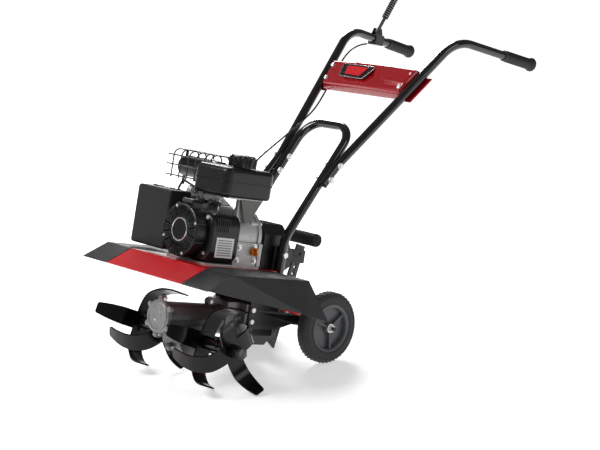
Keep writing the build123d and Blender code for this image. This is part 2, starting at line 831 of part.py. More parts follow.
def belt_outline(grow):
    """The two straight runs and end arcs of the belt at `grow` above its seat."""
    top_r, low_r = drive_seat + grow, driven_seat + grow
    tx, tz = top_r * cos(lean), crank_w + top_r * sin(lean)
    lx, lz = low_r * cos(lean), worm_w + low_r * sin(lean)
    with BuildSketch(facing_front(belt_u - belt_half_width)) as outline:
        with Locations((0, crank_w)):
            Circle(top_r)
        with Locations((0, worm_w)):
            Circle(low_r)
        with BuildLine():
            Polyline((tx, tz), (lx, lz), (-lx, lz), (-tx, tz), close=True)
        make_face()
    return outline.sketch


with BuildPart() as drive_belt:
    extrude(belt_outline(belt_depth), amount=-2 * belt_half_width)
    extrude(belt_outline(0), amount=-2 * belt_half_width, mode=Mode.SUBTRACT)
save(drive_belt, "drive_belt")

with BuildPart() as idler_arm:
    with BuildSketch(facing_front(arm_u)):
        with Locations(idler_pivot):
            Circle(8)
        with Locations(idler_axis):
            Circle(7)
        with BuildLine():
            Polyline((idler_pivot[0] - 6, idler_pivot[1]), (idler_pivot[0] + 6, idler_pivot[1]),
                     (idler_axis[0] + 5, idler_axis[1]), (idler_axis[0] - 5, idler_axis[1]), close=True)
        make_face()
        with Locations(idler_pivot):
            Circle(post_radius + fit_gap, mode=Mode.SUBTRACT)
    extrude(amount=-4)
    with BuildSketch(facing_front(arm_u)):
        with Locations(idler_axis):
            Circle(3)
    extrude(amount=16)
save(idler_arm, "idler_arm")

with BuildPart() as idler_pulley:
    with BuildSketch(facing_front(belt_u - 7)):
        with Locations(idler_axis):
            Circle(idler_radius - 2)
            Circle(3 + fit_gap, mode=Mode.SUBTRACT)
    extrude(amount=-14)
save(idler_pulley, "idler_pulley")

# ---------------------------------------------------------------- worm gearbox
chamber_radius = 50.0
chamber_wall = 5.0
tube_front_u = -108.0
casting_rear_u = case_front - 4.4
split_gap = 0.05
worm_bore = worm_tube_radius - 14
rear_seat = 19.0            # bore for the bearing behind the worm
shaft_seat = shaft_radius + 10
lobe_spots = [(tube_front_u + 9, worm_w + 48), (tube_front_u + 9, worm_w - 48), (-48, -32), (47, -34), (64, 99)]
gearbox_bolt_spots = [at(8 + split_gap, u, w) for u, w in lobe_spots]


def gearbox_half(sign):
    """One half of the casting, split on the middle plane; sign is +1 for the operator's left."""
    seam = facing_side(sign * split_gap)

    def blocks(width):
        """The half rectangle that keeps only this side of the seam."""
        with Locations((sign * (width + split_gap), worm_w)):
            Rectangle(2 * width, 400, mode=Mode.INTERSECT)

    with BuildPart() as half:
        with BuildSketch(facing_front(tube_front_u)):
            with Locations((0, worm_w)):
                Circle(worm_tube_radius)
            blocks(100)
        extrude(amount=tube_front_u - 130)
        with BuildSketch(seam):
            Circle(chamber_radius + 1)
            with Locations(*lobe_spots):
                Circle(10)
            with Locations((0, 0)):
                Rectangle(30, 60)
        extrude(amount=sign * 8)
        with BuildSketch(seam):
            Circle(chamber_radius)
        extrude(amount=sign * (gearbox_half_width - 8))
        with BuildSketch(seam):
            Circle(shaft_radius + 13)
        extrude(amount=sign * (gearbox_half_width - split_gap))
        for half_wide, u_from, u_to in ((44, 96, 141), (frame_plate_x - 0.4, 140, casting_rear_u)):
            with BuildSketch(level(22)):
                with BuildLine():
                    Polyline((sign * split_gap, u_from), (sign * half_wide, u_from), (sign * half_wide, u_to),
                             (sign * split_gap, u_to), close=True)
                make_face()
            extrude(amount=84)
        # hollow for the worm, the wheel and the shafts
        with BuildSketch(facing_front(tube_front_u + 8)):
            with Locations((0, worm_w)):
                Circle(worm_bore)
        extrude(amount=tube_front_u + 8 - 120, mode=Mode.SUBTRACT)
        with BuildSketch(facing_side(-20)):
            Circle(chamber_radius - chamber_wall)
        extrude(amount=40, mode=Mode.SUBTRACT)
        with BuildSketch(facing_side(-80)):
            Circle(shaft_seat)
        extrude(amount=160, mode=Mode.SUBTRACT)
        with BuildSketch(facing_front(100)):
            with Locations((0, worm_w)):
                Circle(rear_seat)
        extrude(amount=-100, mode=Mode.SUBTRACT)
        add(bores(gearbox_bolt_spots, Vector(-1, 0, 0), 2.8 + bolt_slack, 18), mode=Mode.SUBTRACT)
        add(mount_bolt_holes(), mode=Mode.SUBTRACT)
    return half


for sign, name in ((1, "left"), (-1, "right")):
    save(gearbox_half(sign), f"gearbox_{name}")

worm_rear_u = belt_u + 8


def ring(plane, centre, outer, inner, width):
    """A bearing or seal ring on a sketch plane."""
    with BuildPart() as piece:
        with BuildSketch(plane):
            with Locations(centre):
                Circle(outer)
                Circle(inner + fit_gap, mode=Mode.SUBTRACT)
        extrude(amount=width)
    return piece.part


with BuildPart() as bearings:
    for u in (case_front_u, case_rear_u, case_rear_u + 9):
        add(ring(facing_front(u), (0, crank_w), crank_radius + 8, crank_radius, -8))
    add(ring(facing_front(tube_front_u + 10), (0, worm_w), worm_bore, 8, -12))
    add(ring(facing_front(108), (0, worm_w), rear_seat, 8, -12))
    for x in (22, -22 - 14, 36.5, -36.5 - 9):
        add(ring(facing_side(x), (0, 0), shaft_seat, shaft_radius, 14 if abs(x) < 36.2 else 9))
save(bearings, "bearings")

with BuildPart() as worm_shaft:
    with BuildSketch(facing_front(tube_front_u + 11)):
        with Locations((0, worm_w)):
            Circle(8)
    extrude(amount=tube_front_u + 11 - worm_rear_u)
    for i in range(7):
        with BuildSketch(facing_front(-30 + i * 9)):
            with Locations((0, worm_w)):
                Circle(worm_radius + 1.6)
        extrude(amount=-4)
save(worm_shaft, "worm_shaft")

wheel_tooth_radius = worm_w - worm_radius - 2.4
with BuildPart() as worm_gear:
    with BuildSketch(facing_side(-11)):
        Circle(wheel_tooth_radius)
        Circle(shaft_radius, mode=Mode.SUBTRACT)
        with PolarLocations(wheel_tooth_radius, worm_teeth):
            Rectangle(3, 4, mode=Mode.SUBTRACT)
    extrude(amount=22)
save(worm_gear, "worm_gear")


# ---------------------------------------------------------------- tines
hub_clear = 0.02
hub_bolt_spots = [
    Vector(sign * x, shaft_setback, shaft_height + hub_radius + 1) for sign in (1, -1) for x in (136, 172)
]


def hub_bolt_holes():
    """Holes through the hubs and the shaft for the tine bolts."""
    return bores(hub_bolt_spots, Vector(0, 0, -1), 4 + bolt_slack, 60)


with BuildPart() as tine_shaft:
    with BuildSketch(facing_side(-shaft_half_length)):
        Circle(shaft_radius)
    extrude(amount=2 * shaft_half_length)
    add(hub_bolt_holes(), mode=Mode.SUBTRACT)
save(tine_shaft, "tine_shaft")


def arm_point(angle, plate_x, r, s, lateral):
    """Row-frame point of an arm: r outward, s along the turning direction, lateral across."""
    a = radians(angle)
    y = r * cos(a) - s * sin(a)
    z = r * sin(a) + s * cos(a)
    return (plate_x + lateral, shaft_setback + y, shaft_height + z)


def tine_panels(angle, plate_x, sections):
    """Flat panels between neighbouring sections (r, s_low, s_high, lateral) of one arm."""
    panels = []
    for near, far in zip(sections, sections[1:]):
        r0, a0, b0, x0 = near
        r1, a1, b1, x1 = far
        corners = [(r0, a0, x0), (r0, b0, x0), (r1, b1, x1), (r1, a1, x1)]
        panels.append(facet([arm_point(angle, plate_x, *c) for c in corners], tine_thickness, both=True))
    for r, a, b, x in sections[1:-1]:
        start, end = Vector(arm_point(angle, plate_x, r, a, x)), Vector(arm_point(angle, plate_x, r, b, x))
        with BuildPart() as fold:
            with BuildSketch(Plane(origin=start, z_dir=end - start)):
                Circle(tine_thickness / 2)
            extrude(amount=(end - start).length)
        panels.append(fold.part)
    return panels


def tine_set(plate_x, outward, phase, hub_from, hub_to, hook_reach, short_reach, hook_outward):
    """Two crossed straps on a hub. The hooked strap bends far to one side, the other a little to the other."""
    half = tine_width / 2
    hook_sign = outward if hook_outward else -outward
    hook = [
        (12, -half, half, 0), (96, -half, half, 0),
        (108, -half - 20, half - 20, hook_sign * hook_reach * 0.6),
        (112, -half - 34, half - 46, hook_sign * hook_reach),
    ]
    short = [
        (12, -half, half, 0), (70, -half, half, 0),
        (104, -half + 5, half - 5, -hook_sign * short_reach * 0.6),
        (tine_radius, -half + 11, half - 11, -hook_sign * short_reach),
    ]
    panels = []
    for turn in (0, 180):
        panels += tine_panels(phase + turn, plate_x, hook)
        panels += tine_panels(phase + 90 + turn, plate_x, short)
    with BuildPart() as tines:
        with BuildSketch(facing_side(min(hub_from, hub_to))):
            Circle(hub_radius)
        extrude(amount=abs(hub_to - hub_from))
        with BuildSketch(facing_side(plate_x - 3)):
            Circle(30)
        extrude(amount=6)
        for panel in panels:
            add(panel)
        with BuildSketch(facing_side(-300)):
            Circle(shaft_radius + hub_clear)
        extrude(amount=600, mode=Mode.SUBTRACT)
        add(hub_bolt_holes(), mode=Mode.SUBTRACT)
    return tines


for sign, side_name in ((1, "left"), (-1, "right")):
    outer = tine_set(sign * outer_plate_x, sign, outer_phase if sign > 0 else inner_phase,
                     sign * 152, sign * 221, 104, 71, False)
    save(outer, f"outer_tines_{side_name}")
    inner = tine_set(sign * inner_plate_x, sign, inner_phase if sign > 0 else outer_phase,
                     sign * 52, sign * 150, 104, 32, True)
    save(inner, f"inner_tines_{side_name}")

with BuildPart() as tine_bolts:
    for spot in hub_bolt_spots:
        add(hex_bolt(spot, Vector(0, 0, -1), 4, 2 * hub_radius + 12, 13, 6))
    for sign in (1, -1):
        nut = Plane(origin=Vector(sign * shaft_half_length, shaft_setback, shaft_height), z_dir=(-sign, 0, 0))
        with BuildSketch(nut):
            RegularPolygon(17, 6)
            Circle(shaft_radius + hub_clear, mode=Mode.SUBTRACT)
        extrude(amount=14)
save(tine_bolts, "tine_bolts")

# ---------------------------------------------------------------- wheels
wheel_shell = Plane(origin=axle_centre, x_dir=(1, 0, 0), z_dir=(0, -1, 0))   # sketch in (x, z)
half_wheel = wheel_width / 2
wheel_axis = Axis(axle_centre, (1, 0, 0))

for sign, side_name in ((1, "left"), (-1, "right")):
    mid = sign * wheel_x
    with BuildPart() as tyre:
        with BuildSketch(wheel_shell):
            with BuildLine():
                Polyline(
                    (mid - half_wheel + 3, rim_radius), (mid + half_wheel - 3, rim_radius),
                    (mid + half_wheel, rim_radius + 6), (mid + half_wheel, wheel_radius - 12),
                    (mid + half_wheel - 10, wheel_radius - 1.5), (mid + half_wheel - 16, wheel_radius),
                    (mid - half_wheel + 16, wheel_radius), (mid - half_wheel + 10, wheel_radius - 1.5),
                    (mid - half_wheel, wheel_radius - 12), (mid - half_wheel, rim_radius + 6), close=True,
                )
            make_face()
        revolve(axis=wheel_axis)
    save(tyre, f"tyre_{side_name}")

    with BuildPart() as rim:
        with BuildSketch(wheel_shell):
            with BuildLine():
                Polyline(
                    (mid - hub_half, axle_radius + fit_gap), (mid + hub_half, axle_radius + fit_gap),
                    (mid + hub_half, 15),
                    (mid + 3, 17), (mid + 3, rim_radius - 8), (mid + half_wheel - 3, rim_radius - 4),
                    (mid + half_wheel - 3, rim_radius), (mid - half_wheel + 3, rim_radius),
                    (mid - half_wheel + 3, rim_radius - 4), (mid - 3, rim_radius - 8), (mid - 3, 17),
                    (mid - hub_half, 15), close=True,
                )
            make_face()
        revolve(axis=wheel_axis)
        with BuildSketch(Plane(origin=axle_centre, x_dir=(0, 1, 0), z_dir=(1, 0, 0)).offset(mid - 14)):
            with PolarLocations(38, 3, start_angle=0):
                Rectangle(48, 3.5)
        extrude(amount=28)
    save(rim, f"rim_{side_name}")

# ---------------------------------------------------------------- handles
handle_corner = (218.0, 647.0, 925.7)
grip_end = (250.1, 956.9, 901.3)
bolt_low = (323.5, 477.0)
bolt_high = (351.0, 519.0)
handle_low = (handle_x, 308.0, 460.0)
hoop_knee = (222.0, 300.0)
hoop_top = (418.0, 630.0)
hoop_foot_w = 150.0

slope = atan2(handle_corner[2] - bolt_high[1], handle_corner[1] - bolt_high[0])
run_u, run_w = cos(slope), sin(slope)
console_low, console_high = 740.0, 818.0


def handle_point(w):
    """Centreline of the upper handle at height w, as (x, u)."""
    t = (w - bolt_high[1]) / (handle_corner[2] - bolt_high[1])
    return handle_x + t * (handle_corner[0] - handle_x), bolt_high[0] + t * (handle_corner[1] - bolt_high[0])


low_x, low_u = handle_point(console_low)
high_x, high_u = handle_point(console_high)
console_plane = Plane(origin=at(0, low_u, console_low), x_dir=(1, 0, 0),
                      z_dir=-rearward * run_w + upward * run_u)
console_height = hypot(high_u - low_u, console_high - console_low)
edge_gap = tube_radius + 0.8


def console_bolt_spots(sign):
    """Where the console's screws enter one handle, on its inner side."""
    spots = []
    for along_panel in (22, 72):
        x = low_x + (high_x - low_x) * along_panel / console_height
        spots.append(console_plane.from_local_coords(Vector(sign * (x - edge_gap - 5), along_panel, -6)))
    return spots


def console_bolt_holes(sign):
    """Holes for the console's screws."""
    return bores(console_bolt_spots(sign), Vector(sign, 0, 0), 3 + bolt_slack, 16)


def joint_bolt_holes():
    """Holes for the bolts that clamp the handles to the hoop."""
    spots = [at(-200, u, w) for u, w in (bolt_low, bolt_high)]
    return bores(spots, Vector(1, 0, 0), 4 + bolt_slack, 400)


grips = []
for sign, side_name in ((1, "left"), (-1, "right")):
    points = [handle_low, (handle_x, *bolt_high), handle_corner, grip_end]
    points = [(sign * x, u, w) for x, u, w in points]
    with BuildPart() as handle:
        add(bent_bar(points, tube_radius, [60, 105], tube_wall))
        add(joint_bolt_holes(), mode=Mode.SUBTRACT)
        add(console_bolt_holes(sign), mode=Mode.SUBTRACT)
    save(handle, f"handle_{side_name}")

    a, b = at(*points[2]), at(*points[3])
    grip_direction = (b - a).normalized()
    with BuildPart() as grip:
        with BuildSketch(Plane(origin=b - grip_direction * grip_length, z_dir=grip_direction)):
            Circle(grip_radius)
        extrude(amount=grip_length + 4)
        with BuildSketch(Plane(origin=b - grip_direction * 6, z_dir=grip_direction)):
            Circle(grip_radius + 4)
        extrude(amount=14)
        fillet(grip.edges().group_by(Axis(a, grip_direction))[-1], 4)
        with BuildSketch(Plane(origin=b - grip_direction * (grip_length + 1), z_dir=grip_direction)):
            Circle(tube_radius + 0.02)
        extrude(amount=grip_length + 1, mode=Mode.SUBTRACT)
    grips.append(grip.part)
with BuildPart() as handle_grips:
    for piece in grips:
        add(piece)
save(handle_grips, "handle_grips")

with BuildPart() as handle_hoop:
    hoop_points = [(hoop_x, leg_u, hoop_foot_w), (hoop_x, *hoop_knee), (hoop_x, *hoop_top), (-hoop_x, *hoop_top),
                   (-hoop_x, *hoop_knee), (-hoop_x, leg_u, hoop_foot_w)]
    add(bent_bar(hoop_points, tube_radius, [70, 62, 62, 70], tube_wall))
    add(joint_bolt_holes(), mode=Mode.SUBTRACT)
    add(leg_bolt_holes(), mode=Mode.SUBTRACT)
save(handle_hoop, "handle_hoop")

bracket_rear_u = case_rear + 8
bracket_plate = 4.0
guide_hole = (371.1, 250.9)
stake_hole_radius = 4.3
stake_x = 0.0
guide_x = stake_thickness / 2 + body_gap
with BuildPart() as handle_bracket:
    for x in (cheek_x, -cheek_x - cheek_thickness):
        with BuildSketch(facing_side(x)):
            with BuildLine():
                Polyline((204, 140), (204, 275), (236, 275), (bracket_rear_u, 264), (bracket_rear_u, 222),
                         (236, 196), (236, 140), close=True)
            make_face()
        extrude(amount=cheek_thickness)
    with BuildSketch(facing_front(bracket_rear_u)):
        with Locations((0, 243)):
            Rectangle(2 * (cheek_x + cheek_thickness), 42)
    extrude(amount=bracket_plate)
    for x in (guide_x, -guide_x - 4):
        with BuildSketch(facing_side(stake_x + x)):
            with BuildLine():
                Polyline((bracket_rear_u - 2, 258), (292, 290), (318, 290), (330, 263), (352, 263),
                         (392, 261), (392, 224), (bracket_rear_u - 2, 226), close=True)
            make_face()
            with Locations(guide_hole):
                Circle(stake_hole_radius, mode=Mode.SUBTRACT)
        extrude(amount=4)
    add(leg_bolt_holes(), mode=Mode.SUBTRACT)
save(handle_bracket, "handle_bracket")

# ---- console between the handles
with BuildPart() as console_panel:
    with BuildSketch(console_plane.offset(-15)):
        with BuildLine():
            Polyline((-low_x + edge_gap, 0), (low_x - edge_gap, 0), (high_x - edge_gap, console_height),
                     (-high_x + edge_gap, console_height), close=True)
        make_face()
    extrude(amount=29)
    with BuildSketch(console_plane.offset(-16)):
        with BuildLine():
            Polyline((-low_x + edge_gap + 3, 3), (low_x - edge_gap - 3, 3),
                     (high_x - edge_gap - 3, console_height - 3), (-high_x + edge_gap + 3, console_height - 3),
                     close=True)
        make_face()
    extrude(amount=27.5, mode=Mode.SUBTRACT)
    with BuildSketch(console_plane.offset(13)):
        with BuildLine():
            Polyline((-104, 18), (34, 12), (82, console_height + 4), (-118, console_height + 4), close=True)
        make_face()
    extrude(amount=9, taper=12)
    for sign in (1, -1):
        with BuildSketch(console_plane.offset(-17)):
            with BuildLine():
                Polyline((sign * (low_x - edge_gap - 3), -4), (sign * (low_x + 22), -4),
                         (sign * (high_x + 22), console_height - 6),
                         (sign * (high_x - edge_gap - 3), console_height - 6), close=True)
            make_face()
        extrude(amount=2.6)
    for sign in (1, -1):
        add(console_bolt_holes(sign), mode=Mode.SUBTRACT)
save(console_panel, "console_panel")

# ---- tine control: bracket, lever and cable on the right handle
grip_line = (at(-grip_end[0], *grip_end[1:]) - at(-handle_corner[0], *handle_corner[1:])).normalized()
lever_run = (grip_line - upward * grip_line.dot(upward)).normalized()
lever_at = at(-231.8, 780, 938.5)
lever_plane = Plane(origin=lever_at, x_dir=lever_run, z_dir=lever_run.cross(upward))   # sketch in (run, w)
pin_radius = 3.5
lever_half = 6.0
ear = 3.0
right_handle = [(-x, u, w) for x, u, w in
                [handle_low, (handle_x, *bolt_high), handle_corner, grip_end]]

with BuildPart() as lever_bracket:
    with BuildSketch(lever_plane.offset(-lever_half - body_gap - ear)):
        with BuildLine():
            Polyline((-18, -12), (18, -12), (9, 11), (-9, 11), close=True)
        make_face()
    extrude(amount=2 * (lever_half + body_gap + ear))
    with BuildSketch(lever_plane.offset(-tube_radius - 3)):
        with Locations((0, -9.6 - 16)):
            RectangleRounded(38, 32, 3)
    extrude(amount=2 * (tube_radius + 3))
    with BuildSketch(lever_plane.offset(-lever_half - body_gap)):
        with Locations((0, 20)):
            Rectangle(100, 59)
    extrude(amount=2 * (lever_half + body_gap), mode=Mode.SUBTRACT)
    add(bent_bar(right_handle, tube_radius + 0.1, [60, 105]), mode=Mode.SUBTRACT)
    with BuildSketch(lever_plane.offset(-lever_half - body_gap - ear - 1.5)):
        Circle(pin_radius)
    extrude(amount=2 * (lever_half + body_gap + ear + 1.5))
save(lever_bracket, "lever_bracket")

open_angle = radians(lever_open_angle)
lever_bar_radius = 5.5
with BuildPart() as control_lever:
    with BuildSketch(lever_plane.offset(-lever_half)):
        Circle(9)
    extrude(amount=2 * lever_half)
    with BuildSketch(Plane(origin=lever_plane.from_local_coords(Vector(4 * cos(open_angle), 4 * sin(open_angle), 0)),
                           z_dir=lever_run * cos(open_angle) + upward * sin(open_angle))):
        Circle(lever_bar_radius)
    extrude(amount=lever_length - 4)
    with BuildSketch(lever_plane.offset(-30)):
        Circle(pin_radius + fit_gap)
    extrude(amount=60, mode=Mode.SUBTRACT)
save(control_lever, "control_lever")

cable_radius = 2.6
cable_points = [(-228, 738, 895), (-221, 700, 886), (-210, 656, 866), (-194, 617, 838), (-178, 571, 780),
                (-159, 520, 708), (-141, 476, 664), (-122, 408, 616), (-104, 300, 540), (-97, 247, 500),
                (-92, 220, 462), (-84, 214, 408), (-76, 218, 350), (-68.8, 224, 306)]
with BuildPart() as control_cable:
    runs = [(at(*b) - at(*a)).length for a, b in zip(cable_points, cable_points[1:])]
    turns = [(at(*b) - at(*a)).get_angle(at(*c) - at(*b))
             for a, b, c in zip(cable_points, cable_points[1:], cable_points[2:])]
    bends = [0.45 * min(pair) / tan(radians(turn / 2)) for pair, turn in zip(zip(runs, runs[1:]), turns)]
    print("cable bend radii", [round(r) for r in bends])
    add(bent_bar(cable_points, cable_radius, bends))
save(control_cable, "control_cable")

# ---------------------------------------------------------------- depth stake
stake_top = (376.0, 276.0)
stake_foot = (318.0, -24.0)
stake_length = hypot(stake_top[0] - stake_foot[0], stake_top[1] - stake_foot[1])
stake_plane = Plane(origin=at(stake_x, *stake_foot), x_dir=at(stake_x, *stake_top) - at(stake_x, *stake_foot),
                    z_dir=(1, 0, 0))
half_stake = stake_width / 2
with BuildPart() as depth_stake:
    with BuildSketch(stake_plane.offset(-stake_thickness / 2)):
        with BuildLine():
            Polyline((0, -half_stake + 2), (14, half_stake), (stake_length, half_stake),
                     (stake_length, -half_stake), (0, -half_stake), close=True)
        make_face()
        with Locations(*[(60 + i * stake_hole_pitch, 0) for i in range(12)]):
            Circle(stake_hole_radius, mode=Mode.SUBTRACT)
    extrude(amount=stake_thickness)
save(depth_stake, "depth_stake")

stake_grip_w = stake_top[1] + 22
with BuildPart() as stake_grip:
    with BuildSketch(facing_side(stake_x - 62)):
        with Locations((stake_top[0] + 5, stake_grip_w)):
            Circle(19)
    extrude(amount=124)
    fillet(stake_grip.edges(), 6)
save(stake_grip, "stake_grip")

# ---------------------------------------------------------------- fasteners of the fixed body
with BuildPart() as fasteners:
    for x, u in engine_bolt_spots:
        add(hex_bolt(at(x, u, plate_top_w - frame_plate), upward, engine_bolt_radius, 30, 13, 5.5))
    for spot in cover_bolt_spots:
        add(hex_bolt(spot, -rearward, 3, 22, 9, 5))
    for spot in housing_bolt_spots:
        add(hex_bolt(spot, rearward, 2.5, 6, 9, 4))
    for spot in gearbox_bolt_spots:
        add(hex_bolt(spot, Vector(-1, 0, 0), 2.8, 16, 10, 5))
    for sign in (1, -1):
        inward = Vector(-sign, 0, 0)
        for u, w in mount_bolt_spots:
            add(hex_bolt(at(sign * (frame_plate_x + frame_plate), u, w), inward, 4, 22, 13, 6))
        for u, w in (bolt_low, bolt_high):
            add(hex_bolt(at(sign * (handle_x + tube_radius + 2.2), u, w), inward, 4, 4 * tube_radius + 10, 14, 6))
        for u, w in leg_bolt_spots:
            add(hex_bolt(at(sign * (leg_x + tube_radius), u, w), inward, 4, 2 * tube_radius + 14, 15, 6))
        for spot in console_bolt_spots(sign):
            add(hex_bolt(spot, -inward, 3, 12, 11, 5))
        nut = Plane(origin=axle_centre + Vector(sign * (wheel_x + hub_half + body_gap), 0, 0), z_dir=(sign, 0, 0))
        with BuildSketch(nut):
            RegularPolygon(10, 6)
            Circle(axle_radius + fit_gap, mode=Mode.SUBTRACT)
        extrude(amount=9)
save(fasteners, "fasteners")
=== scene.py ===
import json
import math

import bmesh
import bpy
from mathutils import Matrix, Vector


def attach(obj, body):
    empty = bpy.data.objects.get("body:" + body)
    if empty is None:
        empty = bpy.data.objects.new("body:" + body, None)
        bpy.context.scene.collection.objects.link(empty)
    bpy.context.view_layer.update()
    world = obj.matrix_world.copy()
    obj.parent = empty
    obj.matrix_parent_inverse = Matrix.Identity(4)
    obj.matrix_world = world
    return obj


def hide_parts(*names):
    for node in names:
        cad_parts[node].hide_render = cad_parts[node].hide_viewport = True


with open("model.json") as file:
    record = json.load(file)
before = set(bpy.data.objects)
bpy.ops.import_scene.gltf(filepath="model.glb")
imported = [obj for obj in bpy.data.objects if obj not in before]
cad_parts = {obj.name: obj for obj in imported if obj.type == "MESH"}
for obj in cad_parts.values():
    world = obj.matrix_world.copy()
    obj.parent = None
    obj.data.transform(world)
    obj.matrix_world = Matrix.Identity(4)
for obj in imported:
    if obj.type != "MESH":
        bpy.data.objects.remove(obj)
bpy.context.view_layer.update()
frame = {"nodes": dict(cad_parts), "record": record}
cadNodes = frame["nodes"]
print("frame loaded:", len(cadNodes), "nodes")

# the machine leans back by this much about the tine shaft; x across, u rearward, w upward
lean = math.radians(12.6)
shaftAt = (0, -0.5012, 0.117)
machine = Matrix.Translation(shaftAt) @ Matrix.Rotation(-lean, 4, "X")
upward = machine.to_3x3() @ Vector((0, 0, 1))
rearward = machine.to_3x3() @ Vector((0, 1, 0))


def at(x, u, w):
    return machine @ Vector((x, u, w))


# ---------- camera, light and floor
view = {"turn": 47.318, "height": 12.195, "place": (3.38872, -3.20223, 1.35957), "lens": 98.93}
camera = bpy.data.objects.new("camera", bpy.data.cameras.new("camera"))
camera.data.lens = view["lens"]
camera.data.sensor_width = 36
camera.location = view["place"]
camera.rotation_euler = (math.radians(90 - view["height"]), 0, math.radians(view["turn"]))
bpy.context.collection.objects.link(camera)
bpy.context.scene.camera = camera

studio = {"bounce": 0.15, "key": 95, "rim": 90, "fill": 16, "floor": 0.8, "glow": (0.52, 1.0), "fade": (0.75, 1.5)}
sky = bpy.data.worlds.new("studioSky")
sky.use_nodes = True
bpy.context.scene.world = sky
bpy.context.scene.view_settings.view_transform = "Standard"


def softBox(name, place, target, size, power):
    light = bpy.data.objects.new(name, bpy.data.lights.new(name, "AREA"))
    light.data.shape = "RECTANGLE"
    light.data.size, light.data.size_y = size
    light.data.energy = power
    light.location = place
    light.rotation_euler = (Vector(target) - Vector(place)).to_track_quat("-Z", "Y").to_euler()
    bpy.context.collection.objects.link(light)


softBox("keyLight", (-1.2, -2.6, 2.9), (0, -0.2, 0.4), (1.8, 1.2), studio["key"])
softBox("rimLight", (-2.4, 1.8, 2.4), (0, 0, 0.5), (1.2, 1.6), studio["rim"])
softBox("fillLight", (3.0, 0.6, 2.2), (0, 0, 0.5), (1.6, 1.6), studio["fill"])
print("camera and lights ready")


# ---------- node boards: one wrapper for shader and geometry trees
class Wire:
    # one socket, with the maths signs that the finishes use
    def __init__(self, board, socket):
        self.board = board
        self.socket = socket

    def out(self, name):
        return Wire(self.board, self.socket.node.outputs[name])

    def maths(self, operation, first, second):
        return self.board.node("ShaderNodeMath", {"operation": operation}, {0: first, 1: second})

    def __add__(self, other):
        return self.maths("ADD", self, other)

    def __radd__(self, other):
        return self.maths("ADD", other, self)

    def __sub__(self, other):
        return self.maths("SUBTRACT", self, other)

    def __rsub__(self, other):
        return self.maths("SUBTRACT", other, self)

    def __mul__(self, other):
        return self.maths("MULTIPLY", self, other)

    def __rmul__(self, other):
        return self.maths("MULTIPLY", other, self)

    def __truediv__(self, other):
        return self.maths("DIVIDE", self, other)

    def __gt__(self, other):
        return self.maths("GREATER_THAN", self, other)


class Board:
    def __init__(self, tree, emptied=True):
        self.tree = tree
        if emptied:
            tree.nodes.clear()

    def node(self, kind, settings=None, inputs=None):
        made = self.tree.nodes.new(kind)
        for key, value in (settings or {}).items():
            if key == "stops":
                for place, colour in value[2:]:
                    made.color_ramp.elements.new(place)
                for element, (place, colour) in zip(made.color_ramp.elements, sorted(value)):
                    element.position = place
                    element.color = colour
            else:
                setattr(made, key, value)
        for key, value in (inputs or {}).items():
            self.feed(made.inputs[key], value)
        return Wire(self, made.outputs[0] if made.outputs else None)

    def feed(self, socket, value):
        if isinstance(value, Wire):
            self.tree.links.new(value.socket, socket)
        else:
            socket.default_value = value


skyBoard = Board(sky.node_tree)
glow = skyBoard.node("ShaderNodeBackground", {}, {"Color": (1, 1, 1, 1), "Strength": studio["bounce"]})
skyBoard.node("ShaderNodeOutputWorld", {}, {"Surface": glow})


def opaque(colour):
    return (colour[0], colour[1], colour[2], 1)


def shade(colour, factor):
    return tuple(min(1, c * factor) for c in colour)


